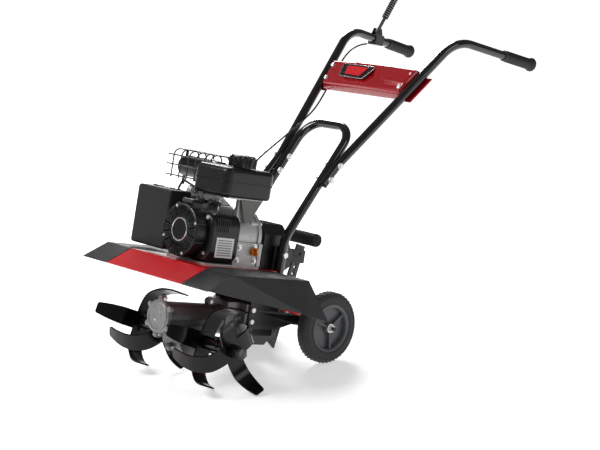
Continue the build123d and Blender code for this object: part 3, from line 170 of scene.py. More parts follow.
# ---------- finishes: every one has colour drift, a roughness map, grain and its own wear
usual = {"drift": 0.25, "scuff": 0.3}
finishes = {
    "redGloss": {"colour": (0.62, 0.008, 0.014), "rough": 0.24, "coat": 0.6, "peel": (420, 0.05), "drift": 0.1,
                 "scuff": 0.25},
    "charcoalCoat": {"colour": (0.021, 0.022, 0.024), "rough": 0.42, "shine": 0.4, "peel": (1500, 0.16),
                     "drift": 0.22},
    "blackTube": {"colour": (0.006, 0.006, 0.007), "rough": 0.14, "coat": 0.5, "peel": (500, 0.035), "drift": 0.2,
                  "scuff": 0.2},
    "tineEnamel": {"colour": (0.0035, 0.0035, 0.004), "rough": 0.2, "shine": 0.3, "peel": (600, 0.05)},
    "blackSteel": {"colour": (0.006, 0.006, 0.0065), "rough": 0.3, "shine": 0.35, "peel": (700, 0.08), "drift": 0.3,
                   "scuff": 0.35, "edge": (0.16, 0.155, 0.15)},
    "castAlloy": {"colour": (0.5, 0.5, 0.495), "rough": 0.4, "metal": 0.4, "peel": (900, 0.35), "grime": 0.5},
    "noseAlloy": {"colour": (0.26, 0.26, 0.258), "rough": 0.34, "metal": 0.4, "peel": (900, 0.3), "grime": 0.6},
    "gearAlloy": {"colour": (0.15, 0.15, 0.148), "rough": 0.3, "metal": 0.35, "peel": (900, 0.3), "grime": 0.5},
    "plainSteel": {"colour": (0.42, 0.42, 0.43), "rough": 0.28, "metal": 1.0, "peel": (300, 0.05), "drift": 0.15},
    "zinc": {"colour": (0.8, 0.8, 0.79), "rough": 0.22, "metal": 0.45, "peel": (600, 0.04), "drift": 0.12,
             "scuff": 0.25},
    "bronze": {"colour": (0.45, 0.27, 0.09), "rough": 0.3, "metal": 1.0, "peel": (300, 0.05), "drift": 0.15},
    "enginePlastic": {"colour": (0.005, 0.005, 0.0055), "rough": 0.33, "shine": 0.4, "peel": (2200, 0.14)},
    "grainPlastic": {"colour": (0.007, 0.007, 0.0075), "rough": 0.46, "shine": 0.35, "peel": (1300, 0.4),
                     "scuff": 0.25},
    "grayPlastic": {"colour": (0.26, 0.265, 0.27), "rough": 0.5, "peel": (1600, 0.2), "drift": 0.15},
    "orangePlastic": {"colour": (0.95, 0.25, 0.015), "rough": 0.36, "peel": (1300, 0.1), "drift": 0.1, "scuff": 0.2},
    "redPlastic": {"colour": (0.33, 0.003, 0.008), "rough": 0.2, "coat": 0.7, "peel": (260, 0.03), "drift": 0.12,
                   "scuff": 0.2},
    "badgePlate": {"colour": (0.62, 0.012, 0.018), "rough": 0.16, "coat": 0.8, "peel": (200, 0.02), "drift": 0.08,
                   "scuff": 0.15},
    "silverTrim": {"colour": (0.75, 0.75, 0.76), "rough": 0.22, "metal": 0.8, "peel": (400, 0.03), "drift": 0.08,
                   "scuff": 0.2},
    "paleLabel": {"colour": (0.85, 0.85, 0.84), "rough": 0.35, "peel": (300, 0.03), "drift": 0.08, "scuff": 0.2},
    "rimPlastic": {"colour": (0.085, 0.089, 0.096), "rough": 0.4, "peel": (900, 0.12), "drift": 0.15},
    "tyreRubber": {"colour": (0.03, 0.031, 0.033), "rough": 0.68, "peel": (1100, 0.3), "drift": 0.3, "scuff": 0.4,
                   "grime": 0.3},
    "gripRubber": {"colour": (0.01, 0.01, 0.01), "rough": 0.55, "peel": (1500, 0.3), "drift": 0.2},
    "foamRubber": {"colour": (0.012, 0.012, 0.012), "rough": 0.85, "peel": (650, 0.9), "drift": 0.3, "scuff": 0.2},
    "beltRubber": {"colour": (0.013, 0.013, 0.013), "rough": 0.7, "peel": (900, 0.3), "drift": 0.2, "scuff": 0.2},
}
ready = {}


def finish(name):
    if name in ready:
        return ready[name]
    values = {**usual, **finishes[name]}
    material = bpy.data.materials.new(name)
    material.use_nodes = True
    board = Board(material.node_tree)
    spot = board.node("ShaderNodeTexCoord").out("Object")
    cloudy = board.node("ShaderNodeTexNoise", {}, {"Vector": spot, "Scale": 9, "Detail": 5, "Roughness": 0.6})
    patchy = board.node("ShaderNodeTexNoise", {}, {"Vector": spot, "Scale": 70, "Detail": 6, "Roughness": 0.7})
    grain = board.node("ShaderNodeTexNoise", {}, {"Vector": spot, "Scale": values["peel"][0], "Detail": 3})
    scratch = board.node("ShaderNodeTexNoise", {"noise_type": "RIDGED_MULTIFRACTAL"},
                         {"Vector": spot, "Scale": 38, "Detail": 7, "Roughness": 0.65, "Distortion": 0.4})
    drift = (cloudy + patchy) * 0.5
    base = board.node("ShaderNodeValToRGB", {"stops": [
        (0.3, opaque(shade(values["colour"], 1 - values["drift"]))),
        (0.7, opaque(shade(values["colour"], 1 + values["drift"])))]}, {"Fac": drift})
    colour = base.out("Color")
    if "grime" in values:
        stain = board.node("ShaderNodeMath", {"operation": "MINIMUM", "use_clamp": True},
                           {0: (patchy - 0.5) * 5 * values["grime"], 1: 0.7})
        colour = mixed(board, stain, colour, opaque(shade(values["colour"], 0.35)))
    if "edge" in values:
        worn = board.node("ShaderNodeNewGeometry").out("Pointiness")
        rubbed = ((worn - 0.53) * 9 * (0.4 + cloudy))
        rubbed = board.node("ShaderNodeMath", {"operation": "MINIMUM", "use_clamp": True}, {0: rubbed, 1: 0.7})
        colour = mixed(board, rubbed, colour, opaque(values["edge"]))
    rough = values["rough"] * (0.8 + 0.4 * patchy) + values["scuff"] * 0.35 * (scratch > 0.72)
    bump = board.node("ShaderNodeBump", {}, {"Strength": values["peel"][1], "Distance": 0.0008, "Height": grain})
    shader = board.node("ShaderNodeBsdfPrincipled", {}, {
        "Base Color": colour, "Roughness": rough, "Normal": bump,
        "Metallic": values.get("metal", 0.0), "Coat Weight": values.get("coat", 0.0), "Coat Roughness": 0.08,
        "Specular IOR Level": values.get("shine", 0.5),
    })
    board.node("ShaderNodeOutputMaterial", {}, {"Surface": shader})
    ready[name] = material
    return material


def mixed(board, factor, first, second):
    made = board.node("ShaderNodeMix", {"data_type": "RGBA"}, {0: factor, 6: first, 7: second})
    return Wire(board, made.socket.node.outputs[2])


# ---------- mesh tools
def settle(name, mesh, finishName, body, replaced=(), smoothAngle=32):
    mesh.materials.clear()
    mesh.materials.append(finish(finishName))
    mesh.polygons.foreach_set("material_index", [0] * len(mesh.polygons))
    mesh.polygons.foreach_set("use_smooth", [True] * len(mesh.polygons))
    mesh.set_sharp_from_angle(angle=math.radians(smoothAngle))
    piece = bpy.data.objects.new(name, mesh)
    bpy.context.collection.objects.link(piece)
    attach(piece, body)
    if replaced:
        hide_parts(*replaced)
    return piece


def rounded(piece, width, segments=2, angle=35):
    bevel = piece.modifiers.new("edges", "BEVEL")
    bevel.width = width
    bevel.segments = segments
    bevel.limit_method = "ANGLE"
    bevel.angle_limit = math.radians(angle)
    bevel.harden_normals = True
    bevel.use_clamp_overlap = True
    return piece


def meshFrom(work, name):
    mesh = bpy.data.meshes.new(name)
    work.to_mesh(mesh)
    work.free()
    return mesh


def mergedMesh(*nodeNames):
    work = bmesh.new()
    for nodeName in nodeNames:
        work.from_mesh(cadNodes[nodeName].data)
    bmesh.ops.remove_doubles(work, verts=work.verts, dist=2e-6)
    bmesh.ops.dissolve_limit(work, angle_limit=math.radians(0.6), verts=work.verts, edges=work.edges)
    return meshFrom(work, "_".join(nodeNames))


def boxMesh(size, bevel, segments=2):
    work = bmesh.new()
    bmesh.ops.create_cube(work, size=1.0)
    for vert in work.verts:
        vert.co = Vector(c * s for c, s in zip(vert.co, size))
    bmesh.ops.bevel(work, geom=list(work.edges), offset=bevel, segments=segments, profile=0.5, affect="EDGES")
    return meshFrom(work, "box")


def turnedMesh(profile, sides=64):
    # profile of (radius, height) pairs turned about Z; first and last radius may be zero
    work = bmesh.new()
    rings = []
    for radius, height in profile:
        if radius < 1e-6:
            rings.append([work.verts.new((0, 0, height))] * sides)
        else:
            rings.append([work.verts.new((radius * math.cos(2 * math.pi * i / sides),
                                          radius * math.sin(2 * math.pi * i / sides), height))
                          for i in range(sides)])
    for low, high in zip(rings, rings[1:]):
        for i in range(sides):
            corners = [low[i], low[(i + 1) % sides], high[(i + 1) % sides], high[i]]
            unique = list(dict.fromkeys(corners))
            if len(unique) > 2:
                work.faces.new(unique)
    if rings[0] is not rings[-1] and profile[0] == profile[-1]:
        bmesh.ops.remove_doubles(work, verts=work.verts, dist=1e-7)
    bmesh.ops.recalc_face_normals(work, faces=work.faces)
    return meshFrom(work, "turned")


def joined(*meshes):
    work = bmesh.new()
    for mesh in meshes:
        work.from_mesh(mesh)
    return meshFrom(work, "joined")


def plateMesh(outline, thickness):
    # a flat outline in the XY plane, given thickness along Z
    work = bmesh.new()
    face = work.faces.new([work.verts.new((x, y, 0)) for x, y in outline])
    raised = bmesh.ops.extrude_face_region(work, geom=[face])
    for item in raised["geom"]:
        if isinstance(item, bmesh.types.BMVert):
            item.co.z += thickness
    bmesh.ops.recalc_face_normals(work, faces=work.faces)
    return meshFrom(work, "plate")


def moved(mesh, matrix):
    mesh.transform(matrix)
    return mesh


def frameAt(place, aim, side=None):
    # a matrix whose Z looks along aim and whose X is as near as can be to side
    z = Vector(aim).normalized()
    x = Vector(side) if side else (Vector((1, 0, 0)) if abs(z.x) < 0.9 else Vector((0, 1, 0)))
    y = z.cross(x).normalized()
    x = y.cross(z)
    turn = Matrix((x, y, z)).transposed().to_4x4()
    return Matrix.Translation(place) @ turn


facingFront = machine.to_3x3() @ Vector((0, -1, 0))


def roundedRoute(points, bends, steps=10):
    # a polyline with its corners rounded to arcs
    route = [Vector(points[0])]
    for before, corner, after, bend in zip(points, points[1:], points[2:], bends):
        corner = Vector(corner)
        into = (Vector(before) - corner).normalized()
        away = (Vector(after) - corner).normalized()
        half = into.angle(away) / 2
        reach = bend / math.tan(half)
        centre = corner + (into + away).normalized() * (bend / math.sin(half))
        start, end = corner + into * reach, corner + away * reach
        a, b = start - centre, end - centre
        sweep = a.angle(b)
        for step in range(steps + 1):
            t = step / steps
            route.append(centre + (a * math.sin((1 - t) * sweep) + b * math.sin(t * sweep)) / math.sin(sweep))
    route.append(Vector(points[-1]))
    return route


# ---------- geometry trees
def geometryTree(name, numbers):
    tree = bpy.data.node_groups.new(name, "GeometryNodeTree")
    board = Board(tree)
    tree.interface.new_socket(name="Geometry", in_out="INPUT", socket_type="NodeSocketGeometry")
    for label, kind in numbers.items():
        tree.interface.new_socket(name=label, in_out="INPUT", socket_type=kind)
    tree.interface.new_socket(name="Finish", in_out="INPUT", socket_type="NodeSocketMaterial")
    tree.interface.new_socket(name="Geometry", in_out="OUTPUT", socket_type="NodeSocketGeometry")
    return board, board.node("NodeGroupInput")


def endTree(board, source, geometry, realise=True):
    if realise:
        geometry = board.node("GeometryNodeRealizeInstances", {}, {0: geometry})
    painted = board.node("GeometryNodeSetMaterial", {}, {"Geometry": geometry, "Material": source.out("Finish")})
    board.node("NodeGroupOutput", {}, {0: painted})
    return board.tree


def grown(mesh, tree, values, finishName):
    # runs a tree on a mesh and gives the plain mesh it makes
    host = bpy.data.objects.new("host", mesh)
    bpy.context.collection.objects.link(host)
    modifier = host.modifiers.new("grow", "NODES")
    modifier.node_group = tree
    for item in tree.interface.items_tree:
        if item.in_out == "INPUT" and item.name in values:
            modifier[item.identifier] = values[item.name]
        if item.in_out == "INPUT" and item.name == "Finish":
            modifier[item.identifier] = finish(finishName)
    host.update_tag()
    bpy.context.view_layer.update()
    made = bpy.data.meshes.new_from_object(host.evaluated_get(bpy.context.evaluated_depsgraph_get()))
    host.modifiers.remove(modifier)
    bpy.data.objects.remove(host)
    return made


def ringTree():
    # copies of the part stand round Z, each turned to face outwards
    board, source = geometryTree("ringOfParts", {"Count": "NodeSocketInt", "Radius": "NodeSocketFloat"})
    circle = board.node("GeometryNodeMeshCircle", {},
                        {"Vertices": source.out("Count"), "Radius": source.out("Radius")})
    angle = board.node("GeometryNodeInputIndex") * (2 * math.pi) / source.out("Count")
    turn = board.node("ShaderNodeCombineXYZ", {}, {"Z": angle})
    copies = board.node("GeometryNodeInstanceOnPoints", {},
                        {"Points": circle, "Instance": source.out("Geometry"), "Rotation": turn})
    return endTree(board, source, copies)


def rowTree():
    # copies of the part stand in a straight row
    board, source = geometryTree("rowOfParts", {"Count": "NodeSocketInt", "Step": "NodeSocketVector"})
    line = board.node("GeometryNodeMeshLine", {"mode": "OFFSET"},
                      {"Count": source.out("Count"), "Offset": source.out("Step")})
    copies = board.node("GeometryNodeInstanceOnPoints", {}, {"Points": line, "Instance": source.out("Geometry")})
    return endTree(board, source, copies)


def sweepTree():
    # a round section follows the edges of the host
    board, source = geometryTree("sweptSection", {"Radius": "NodeSocketFloat", "Sides": "NodeSocketInt"})
    curve = board.node("GeometryNodeMeshToCurve", {}, {"Mesh": source.out("Geometry")})
    section = board.node("GeometryNodeCurvePrimitiveCircle", {},
                         {"Resolution": source.out("Sides"), "Radius": source.out("Radius")})
    swept = board.node("GeometryNodeCurveToMesh", {}, {"Curve": curve, "Profile Curve": section, "Fill Caps": True})
    return endTree(board, source, swept)


def boltTree():
    # a hexagon head on a washer at each point, along the stored direction
    board, source = geometryTree("boltHeads", {"Flats": "NodeSocketFloat", "Height": "NodeSocketFloat"})
    flats, height = source.out("Flats"), source.out("Height")
    aim = board.node("GeometryNodeInputNamedAttribute", {"data_type": "FLOAT_VECTOR"}, {"Name": "aim"})
    turn = board.node("FunctionNodeAlignRotationToVector", {"axis": "Z"}, {"Vector": aim})

    def stack(sides, low, high, start, depth):
        cone = board.node("GeometryNodeMeshCone", {"fill_type": "NGON"}, {
            "Vertices": sides, "Radius Bottom": low, "Radius Top": high, "Depth": depth})
        lift = board.node("ShaderNodeCombineXYZ", {}, {"Z": start})
        return board.node("GeometryNodeTransform", {}, {"Geometry": cone, "Translation": lift})

    washer = stack(28, flats * 0.86, flats * 0.84, 0.0, height * 0.22)
    body = stack(6, flats * 0.577, flats * 0.577, height * 0.2, height * 0.62)
    crown = stack(6, flats * 0.577, flats * 0.47, height * 0.82, height * 0.18)
    join = board.node("GeometryNodeJoinGeometry")
    for part in (washer, body, crown):
        board.tree.links.new(part.socket, join.socket.node.inputs[0])
    copies = board.node("GeometryNodeInstanceOnPoints", {},
                        {"Points": source.out("Geometry"), "Instance": join, "Rotation": turn})
    return endTree(board, source, copies)


ringOf, rowOf, sweptAlong, boltHeads = ringTree(), rowTree(), sweepTree(), boltTree()


def repeatRound(part, count, radius, matrix, finishName):
    return moved(grown(part, ringOf, {"Count": count, "Radius": radius}, finishName), matrix)


def repeatAlong(part, count, step, matrix, finishName):
    return moved(grown(part, rowOf, {"Count": count, "Step": step}, finishName), matrix)


def tubeMesh(route, radius, finishName, sides=24, closed=False):
    edges = [(i, i + 1) for i in range(len(route) - 1)]
    if closed:
        edges.append((len(route) - 1, 0))
    line = bpy.data.meshes.new("line")
    line.from_pydata([tuple(p) for p in route], edges, [])
    made = grown(line, sweptAlong, {"Radius": radius, "Sides": sides}, finishName)
    work = bmesh.new()
    work.from_mesh(made)
    bmesh.ops.remove_doubles(work, verts=work.verts, dist=1e-7)
    bmesh.ops.recalc_face_normals(work, faces=work.faces)
    work.to_mesh(made)
    work.free()
    return made


def boltsMesh(spots, flats, height, finishName="zinc"):
    points = bpy.data.meshes.new("spots")
    points.from_pydata([tuple(place) for place, aim in spots], [], [])
    stored = points.attributes.new("aim", "FLOAT_VECTOR", "POINT")
    for item, (place, aim) in zip(stored.data, spots):
        item.vector = aim
    return grown(points, boltHeads, {"Flats": flats, "Height": height}, finishName)


print("trees and tools ready")

# ---------- carried-over CAD nodes: merged, crisp edges eased, each with its own finish
bodyOf = {}
for bodyName, names in frame["record"]["behaviour"]["bodies"].items():
    for nodeName in names:
        bodyOf[nodeName] = bodyName

eased = {
    "main_frame": ("blackSteel", 0.0008), "tine_shield_left": ("charcoalCoat", 0.0011),
    "tine_shield_right": ("charcoalCoat", 0.0011), "tine_shield_centre": ("redGloss", 0.0011),
    "crankcase": ("castAlloy", 0.0012), "crankcase_cover": ("castAlloy", 0.0012),
    "blower_housing": ("enginePlastic", 0.0012), "recoil_cover": ("enginePlastic", 0.0007),
    "air_cleaner_cover": ("grainPlastic", 0.0010), "air_cleaner_base": ("grainPlastic", 0.0010),
    "cylinder_head": ("castAlloy", 0.0006), "carburetor": ("castAlloy", 0.0007),
    "fuel_tank": ("enginePlastic", 0.0008), "muffler": ("blackSteel", 0.0010),
    "dipstick": ("orangePlastic", 0.0012), "belt_backplate": ("blackSteel", 0.0006),
    "belt_cover": ("enginePlastic", 0.0012), "gearbox_left": ("gearAlloy", 0.0011),
    "gearbox_right": ("gearAlloy", 0.0011), "handle_bracket": ("blackSteel", 0.0006),
    "lever_bracket": ("blackSteel", 0.0008),
    "depth_stake": ("blackSteel", 0.0006), "choke_lever": ("enginePlastic", 0.0008),
    "throttle_lever": ("enginePlastic", 0.0008), "control_plate": ("plainSteel", 0.0004),
    "starter_handle": ("gripRubber", 0.0008), "tine_shaft": ("blackSteel", 0.0008),
    "fasteners": ("zinc", 0.0005), "tine_bolts": ("blackSteel", 0.0006),
}
for nodeName, (finishName, width) in eased.items():
    piece = settle(nodeName + "Skin", mergedMesh(nodeName), finishName, bodyOf[nodeName], [nodeName])
    rounded(piece, width)
print("eased skins:", len(eased))

inner = {
    "bearings": "plainSteel", "crankshaft": "plainSteel", "flywheel": "castAlloy", "starter_pulley": "enginePlastic",
    "cylinder": "castAlloy", "drive_pulley": "plainSteel", "driven_pulley": "plainSteel", "drive_belt": "beltRubber",
    "idler_arm": "plainSteel", "idler_pulley": "plainSteel", "worm_shaft": "plainSteel", "worm_gear": "bronze",
    "spark_plug": "gripRubber", 
}
for nodeName, finishName in inner.items():
    cadNodes[nodeName].data.materials.clear()
    cadNodes[nodeName].data.materials.append(finish(finishName))
print("plain nodes painted:", len(inner))

# ---------- wheels
wheel = {"x": 0.158, "axle": (-0.1222, 0.1016), "lugs": 46, "lugSize": (0.0022, 0.0048, 0.0105), "lugRadius": 0.0999}
tyreProfile = [(0.0665, -0.0195), (0.0690, -0.0214), (0.0760, -0.0219), (0.0850, -0.0214), (0.0915, -0.0196),
               (0.0962, -0.0162), (0.0988, -0.0118), (0.0998, -0.0060), (0.1001, 0.0)]
tyreProfile += [(r, -z) for r, z in reversed(tyreProfile[:-1])] + [tyreProfile[0]]
sidewallRibs = [(0.0886, 0.0210, 0.0007), (0.0735, 0.0222, 0.0005)]
rimProfile = [(0.0575, 0.0120), (0.0600, 0.0175), (0.0640, 0.0200), (0.0668, 0.0203), (0.0668, -0.0203),
              (0.0640, -0.0200),
              (0.0600, -0.0175), (0.0575, -0.0120), (0.0575, 0.0120)]
webProfile = [(0.0062, 0.0040), (0.0590, 0.0040), (0.0590, -0.0040), (0.0062, -0.0040), (0.0062, 0.0040)]
hubProfile = [(0.0062, 0.0168), (0.0130, 0.0168), (0.0150, 0.0150), (0.0172, 0.0040), (0.0172, -0.0040),
              (0.0150, -0.0150),
              (0.0130, -0.0168), (0.0062, -0.0168), (0.0062, 0.0168)]
for side, sign in (("left", 1), ("right", -1)):
    body = "wheel_" + side
    place = frameAt((sign * wheel["x"], *wheel["axle"]), (sign, 0, 0), (0, 1, 0))
    tyre = turnedMesh(tyreProfile, 96)
    lug = boxMesh(wheel["lugSize"], 0.0005)
    lug.transform(Matrix.Rotation(math.radians(28), 4, "X"))
    rows = [repeatRound(lug.copy(), wheel["lugs"], wheel["lugRadius"],
                        Matrix.Rotation(shift, 4, "Z") @ Matrix.Translation((0, 0, height)), "tyreRubber")
            for shift, height in ((0.0, 0.0068), (math.pi / wheel["lugs"], -0.0068))]
    ribs = [turnedMesh([(r - 0.0012, z - 0.001), (r - 0.0008, z + t), (r + 0.0008, z + t), (r + 0.0012, z - 0.001),
                        (r - 0.0012, z - 0.001)], 96) for r, z, t in sidewallRibs]
    ribs += [moved(rib.copy(), Matrix.Rotation(math.pi, 4, "X")) for rib in ribs]
    settle("tyre" + side.title(), moved(joined(tyre, *rows, *ribs), place), "tyreRubber", body, ["tyre_" + side])
    spoke = boxMesh((0.048, 0.0062, 0.0300), 0.0012)
    spokes = repeatRound(spoke, 3, 0.0370, Matrix.Rotation(math.radians(30), 4, "Z"), "rimPlastic")
    stud = turnedMesh([(0, 0.0052), (0.0022, 0.0050), (0.0026, 0.0036), (0.0026, -0.0036), (0.0022, -0.0050),
                       (0, -0.0052)], 16)
    studs = repeatRound(stud, 3, 0.0500, Matrix.Rotation(math.radians(90), 4, "Z"), "rimPlastic")
    rim = joined(turnedMesh(rimProfile, 80), turnedMesh(webProfile, 64), turnedMesh(hubProfile, 48), spokes, studs)
    settle("rim" + side.title(), moved(rim, place), "rimPlastic", body, ["rim_" + side])
    cap = turnedMesh([(0.0064, 0.0170), (0.0125, 0.0170), (0.0125, 0.0178), (0.0064, 0.0178), (0.0064, 0.0170)], 40)
    settle("hubWasher" + side.title(), moved(cap, place), "zinc", body)
print("wheels made")

# ---------- tines: each set is two crossed straps, curved smoothly to one side or the other, on a hub
tine = {"y": -0.5012, "z": 0.117, "thick": 0.005, "steps": 44, "hub": 0.018, "washer": 0.030, "bore": 0.01272}
hookRun = [(0.006, 0, 0.0245, 0), (0.045, 0, 0.0245, 0.001), (0.078, -0.002, 0.0245, 0.012),
           (0.100, -0.010, 0.0245, 0.042),
           (0.108, -0.022, 0.0235, 0.074), (0.1085, -0.037, 0.0190, 0.104)]
shortRun = [(0.006, 0, 0.0245, 0), (0.045, 0, 0.0245, 0.002), (0.074, 0, 0.0240, 0.16), (0.098, 0, 0.0205, 0.52),
            (0.114, 0, 0.0150, 0.98)]
tineSets = {
    "outer_tines_left": {"plate": 0.195, "turn": 20, "hub": (0.152, 0.221), "hook": -1, "reach": 0.071},
    "outer_tines_right": {"plate": -0.195, "turn": 65, "hub": (-0.221, -0.152), "hook": 1, "reach": 0.071},
    "inner_tines_left": {"plate": 0.085, "turn": 65, "hub": (0.052, 0.150), "hook": 1, "reach": 0.032},
    "inner_tines_right": {"plate": -0.085, "turn": 20, "hub": (-0.150, -0.052), "hook": -1, "reach": 0.032},
}


def through(values, t):
    # a smooth curve through the listed values
    span = min(int(t * (len(values) - 1)), len(values) - 2)
    f = t * (len(values) - 1) - span
    p = [Vector(values[max(0, min(len(values) - 1, span + k))]) for k in (-1, 0, 1, 2)]
    return 0.5 * (2 * p[1] + (p[2] - p[0]) * f + (2 * p[0] - 5 * p[1] + 4 * p[2] - p[3]) * f * f
                  + (3 * p[1] - p[0] - 3 * p[2] + p[3]) * f ** 3)


def strapMesh(angle, plateX, stations, sideways):
    turn = math.radians(angle)
    radial, around = Vector((0, math.cos(turn), math.sin(turn))), Vector((0, -math.sin(turn), math.cos(turn)))
    spots = [through(stations, k / tine["steps"]) for k in range(tine["steps"] + 1)]
    line = [Vector((plateX + sideways * q[3], tine["y"], tine["z"])) + radial * q[0] + around * q[1] for q in spots]
    work = bmesh.new()
    rows = []
    for k, (point, q) in enumerate(zip(line, spots)):
        along = (line[min(k + 1, len(line) - 1)] - line[max(k - 1, 0)]).normalized()
        across = (around - along * around.dot(along)).normalized()
        out = along.cross(across) * tine["thick"] / 2
        tip = 1 - 0.25 * max(0, k / tine["steps"] - 0.96) / 0.04
        corners = [point + across * q[2] * tip * a + out * b for a, b in ((-1, -1), (1, -1), (1, 1), (-1, 1))]
        rows.append([work.verts.new(c) for c in corners])
    for low, high in zip(rows, rows[1:]):
        for k in range(4):
            work.faces.new((low[k], low[(k + 1) % 4], high[(k + 1) % 4], high[k]))
    work.faces.new(list(reversed(rows[0])))
    work.faces.new(rows[-1])
    bmesh.ops.recalc_face_normals(work, faces=work.faces)
    return meshFrom(work, "strap")


for nodeName, tines in tineSets.items():
    sideways = tines["hook"]
    short = [(r, s, half, lateral * tines["reach"] if lateral > 0.05 else lateral) for r, s, half,
             lateral in shortRun]
    parts = []
    for turn in (0, 180):
        parts.append(strapMesh(tines["turn"] + turn, tines["plate"], hookRun, sideways))
        parts.append(strapMesh(tines["turn"] + turn + 90, tines["plate"], short, -sideways))
    low, high = tines["hub"]
    reach = [(tine["bore"], low), (tine["hub"] - 0.001, low), (tine["hub"], low + 0.001), (tine["hub"], high - 0.001),
             (tine["hub"] - 0.001, high), (tine["bore"], high), (tine["bore"], low)]
    centre = Vector((0, tine["y"], tine["z"]))
    parts.append(moved(turnedMesh(reach, 48), frameAt(centre, (1, 0, 0))))
    plateX = tines["plate"]
    washer = [(tine["hub"], plateX - 0.0032), (tine["washer"], plateX - 0.0030), (tine["washer"], plateX + 0.0030),
              (tine["hub"], plateX + 0.0032), (tine["hub"], plateX - 0.0032)]
    parts.append(moved(turnedMesh(washer, 56), frameAt(centre, (1, 0, 0))))
    skin = settle(nodeName.replace("_", "") + "Straps", joined(*parts), "tineEnamel", "tines", [nodeName],
                  40)
    rounded(skin, 0.0009)
print("tines made")

# ---------- handles, grips and hoop
handles = {"radius": 0.0127, "bolt": (0.119, 0.351, 0.519), "low": (0.119, 0.308, 0.460),
           "corner": (0.218, 0.647, 0.9257),
           "end": (0.2501, 0.9569, 0.9013), "hoopX": 0.093, "hoopFoot": (0.219, 0.150), "hoopKnee": (0.222, 0.300),
           "hoopTop": (0.418, 0.630)}
gripShape = {"length": 0.122, "radius": 0.0158, "ribs": 15, "ribRise": 0.0011}
grips = []
for side, sign in (("left", 1), ("right", -1)):
    points = [at(sign * x, u, w) for x, u, w in (handles["low"], handles["bolt"], handles["corner"], handles["end"])]
    route = roundedRoute(points, [0.060, 0.105], 18)
    outer = tubeMesh(route, handles["radius"], "blackTube", 40)
    plug = turnedMesh([(0, 0.0016), (0.0095, 0.0013), (0.0118, 0.0), (0.0118, -0.004)], 36)
    plug.transform(frameAt(points[0], points[0] - points[1]))
    settle("handle" + side.title(), joined(outer, plug), "blackTube", "frame", ["handle_" + side])
    axis = (points[3] - points[2]).normalized()
    base = points[3] - axis * gripShape["length"]
    length, rise = gripShape["length"], gripShape["ribRise"]
    profile = [(0.0128, 0.0), (0.0150, 0.0004), (0.0160, 0.0030), (0.0160, 0.0060)]
    for i in range(gripShape["ribs"]):
        start = 0.010 + i * (length - 0.026) / gripShape["ribs"]
        profile += [(gripShape["radius"], start), (gripShape["radius"] + rise, start + 0.0012),
                    (gripShape["radius"] + rise, start + 0.0034), (gripShape["radius"], start + 0.0046)]
    profile += [(gripShape["radius"], length - 0.014), (0.0190, length - 0.010), (0.0207, length - 0.005),
                (0.0207, length - 0.001), (0.0188, length + 0.0028), (0.0100, length + 0.0038), (0, length + 0.0039)]
    grips.append(moved(turnedMesh(profile, 48), frameAt(base, axis)))
settle("handleGrips", joined(*grips), "gripRubber", "frame", ["handle_grips"])
x = handles["hoopX"]
hoopPoints = [at(s * x, *spot) for s, spot in ((1, handles["hoopFoot"]), (1, handles["hoopKnee"]),
                                               (1, handles["hoopTop"]),
                                                (-1, handles["hoopTop"]), (-1, handles["hoopKnee"]),
                                                (-1, handles["hoopFoot"]))]
settle("handleHoop",
       tubeMesh(roundedRoute(hoopPoints, [0.070, 0.062, 0.062, 0.070], 18), handles["radius"], "blackTube", 40),
       "blackTube", "frame", ["handle_hoop"])
print("handles made")

# ---------- depth stake's foam grip
foam = {"length": 0.124, "place": (0, 0.381, 0.298)}
half = foam["length"] / 2
foamProfile = [(0, -half), (0.0085, -half), (0.0088, -half + 0.0014), (0.0150, -half + 0.0016),
               (0.0182, -half + 0.004),
               (0.0190, -half + 0.009), (0.0187, -half + 0.030), (0.0190, 0)]
foamProfile += [(r, -z) for r, z in reversed(foamProfile[:-1])]
settle("stakeGrip", moved(turnedMesh(foamProfile, 56), frameAt(at(*foam["place"]), (1, 0, 0), upward)),
       "foamRubber", "stake", ["stake_grip"])

# ---------- fuel cap: a domed cap with lobes round its skirt
capShape = {"place": (0.034, 0.076, 0.485), "lobes": 9}
capProfile = [(0.0246, -0.0090), (0.0350, -0.0088), (0.0352, 0.0170), (0.0335, 0.0222), (0.0290, 0.0245),
              (0.0270, 0.0236),
              (0.0140, 0.0240), (0.0080, 0.0262), (0, 0.0266)]
lobe = turnedMesh([(0, -0.0088), (0.0058, -0.0086), (0.0064, -0.0060), (0.0064, 0.0150), (0.0054, 0.0192),
                   (0, 0.0205)], 24)
lobes = repeatRound(lobe, capShape["lobes"], 0.0330, Matrix.Identity(4), "enginePlastic")
knurl = boxMesh((0.0016, 0.0014, 0.018), 0.0004)
knurls = repeatRound(knurl, 54, 0.0353, Matrix.Translation((0, 0, 0.004)), "enginePlastic")
settle("fuelCap",
       moved(joined(turnedMesh(capProfile, 72), lobes, knurls), frameAt(at(*capShape["place"]), upward, (1, 0, 0))),
       "enginePlastic", "cap", ["fuel_cap"])

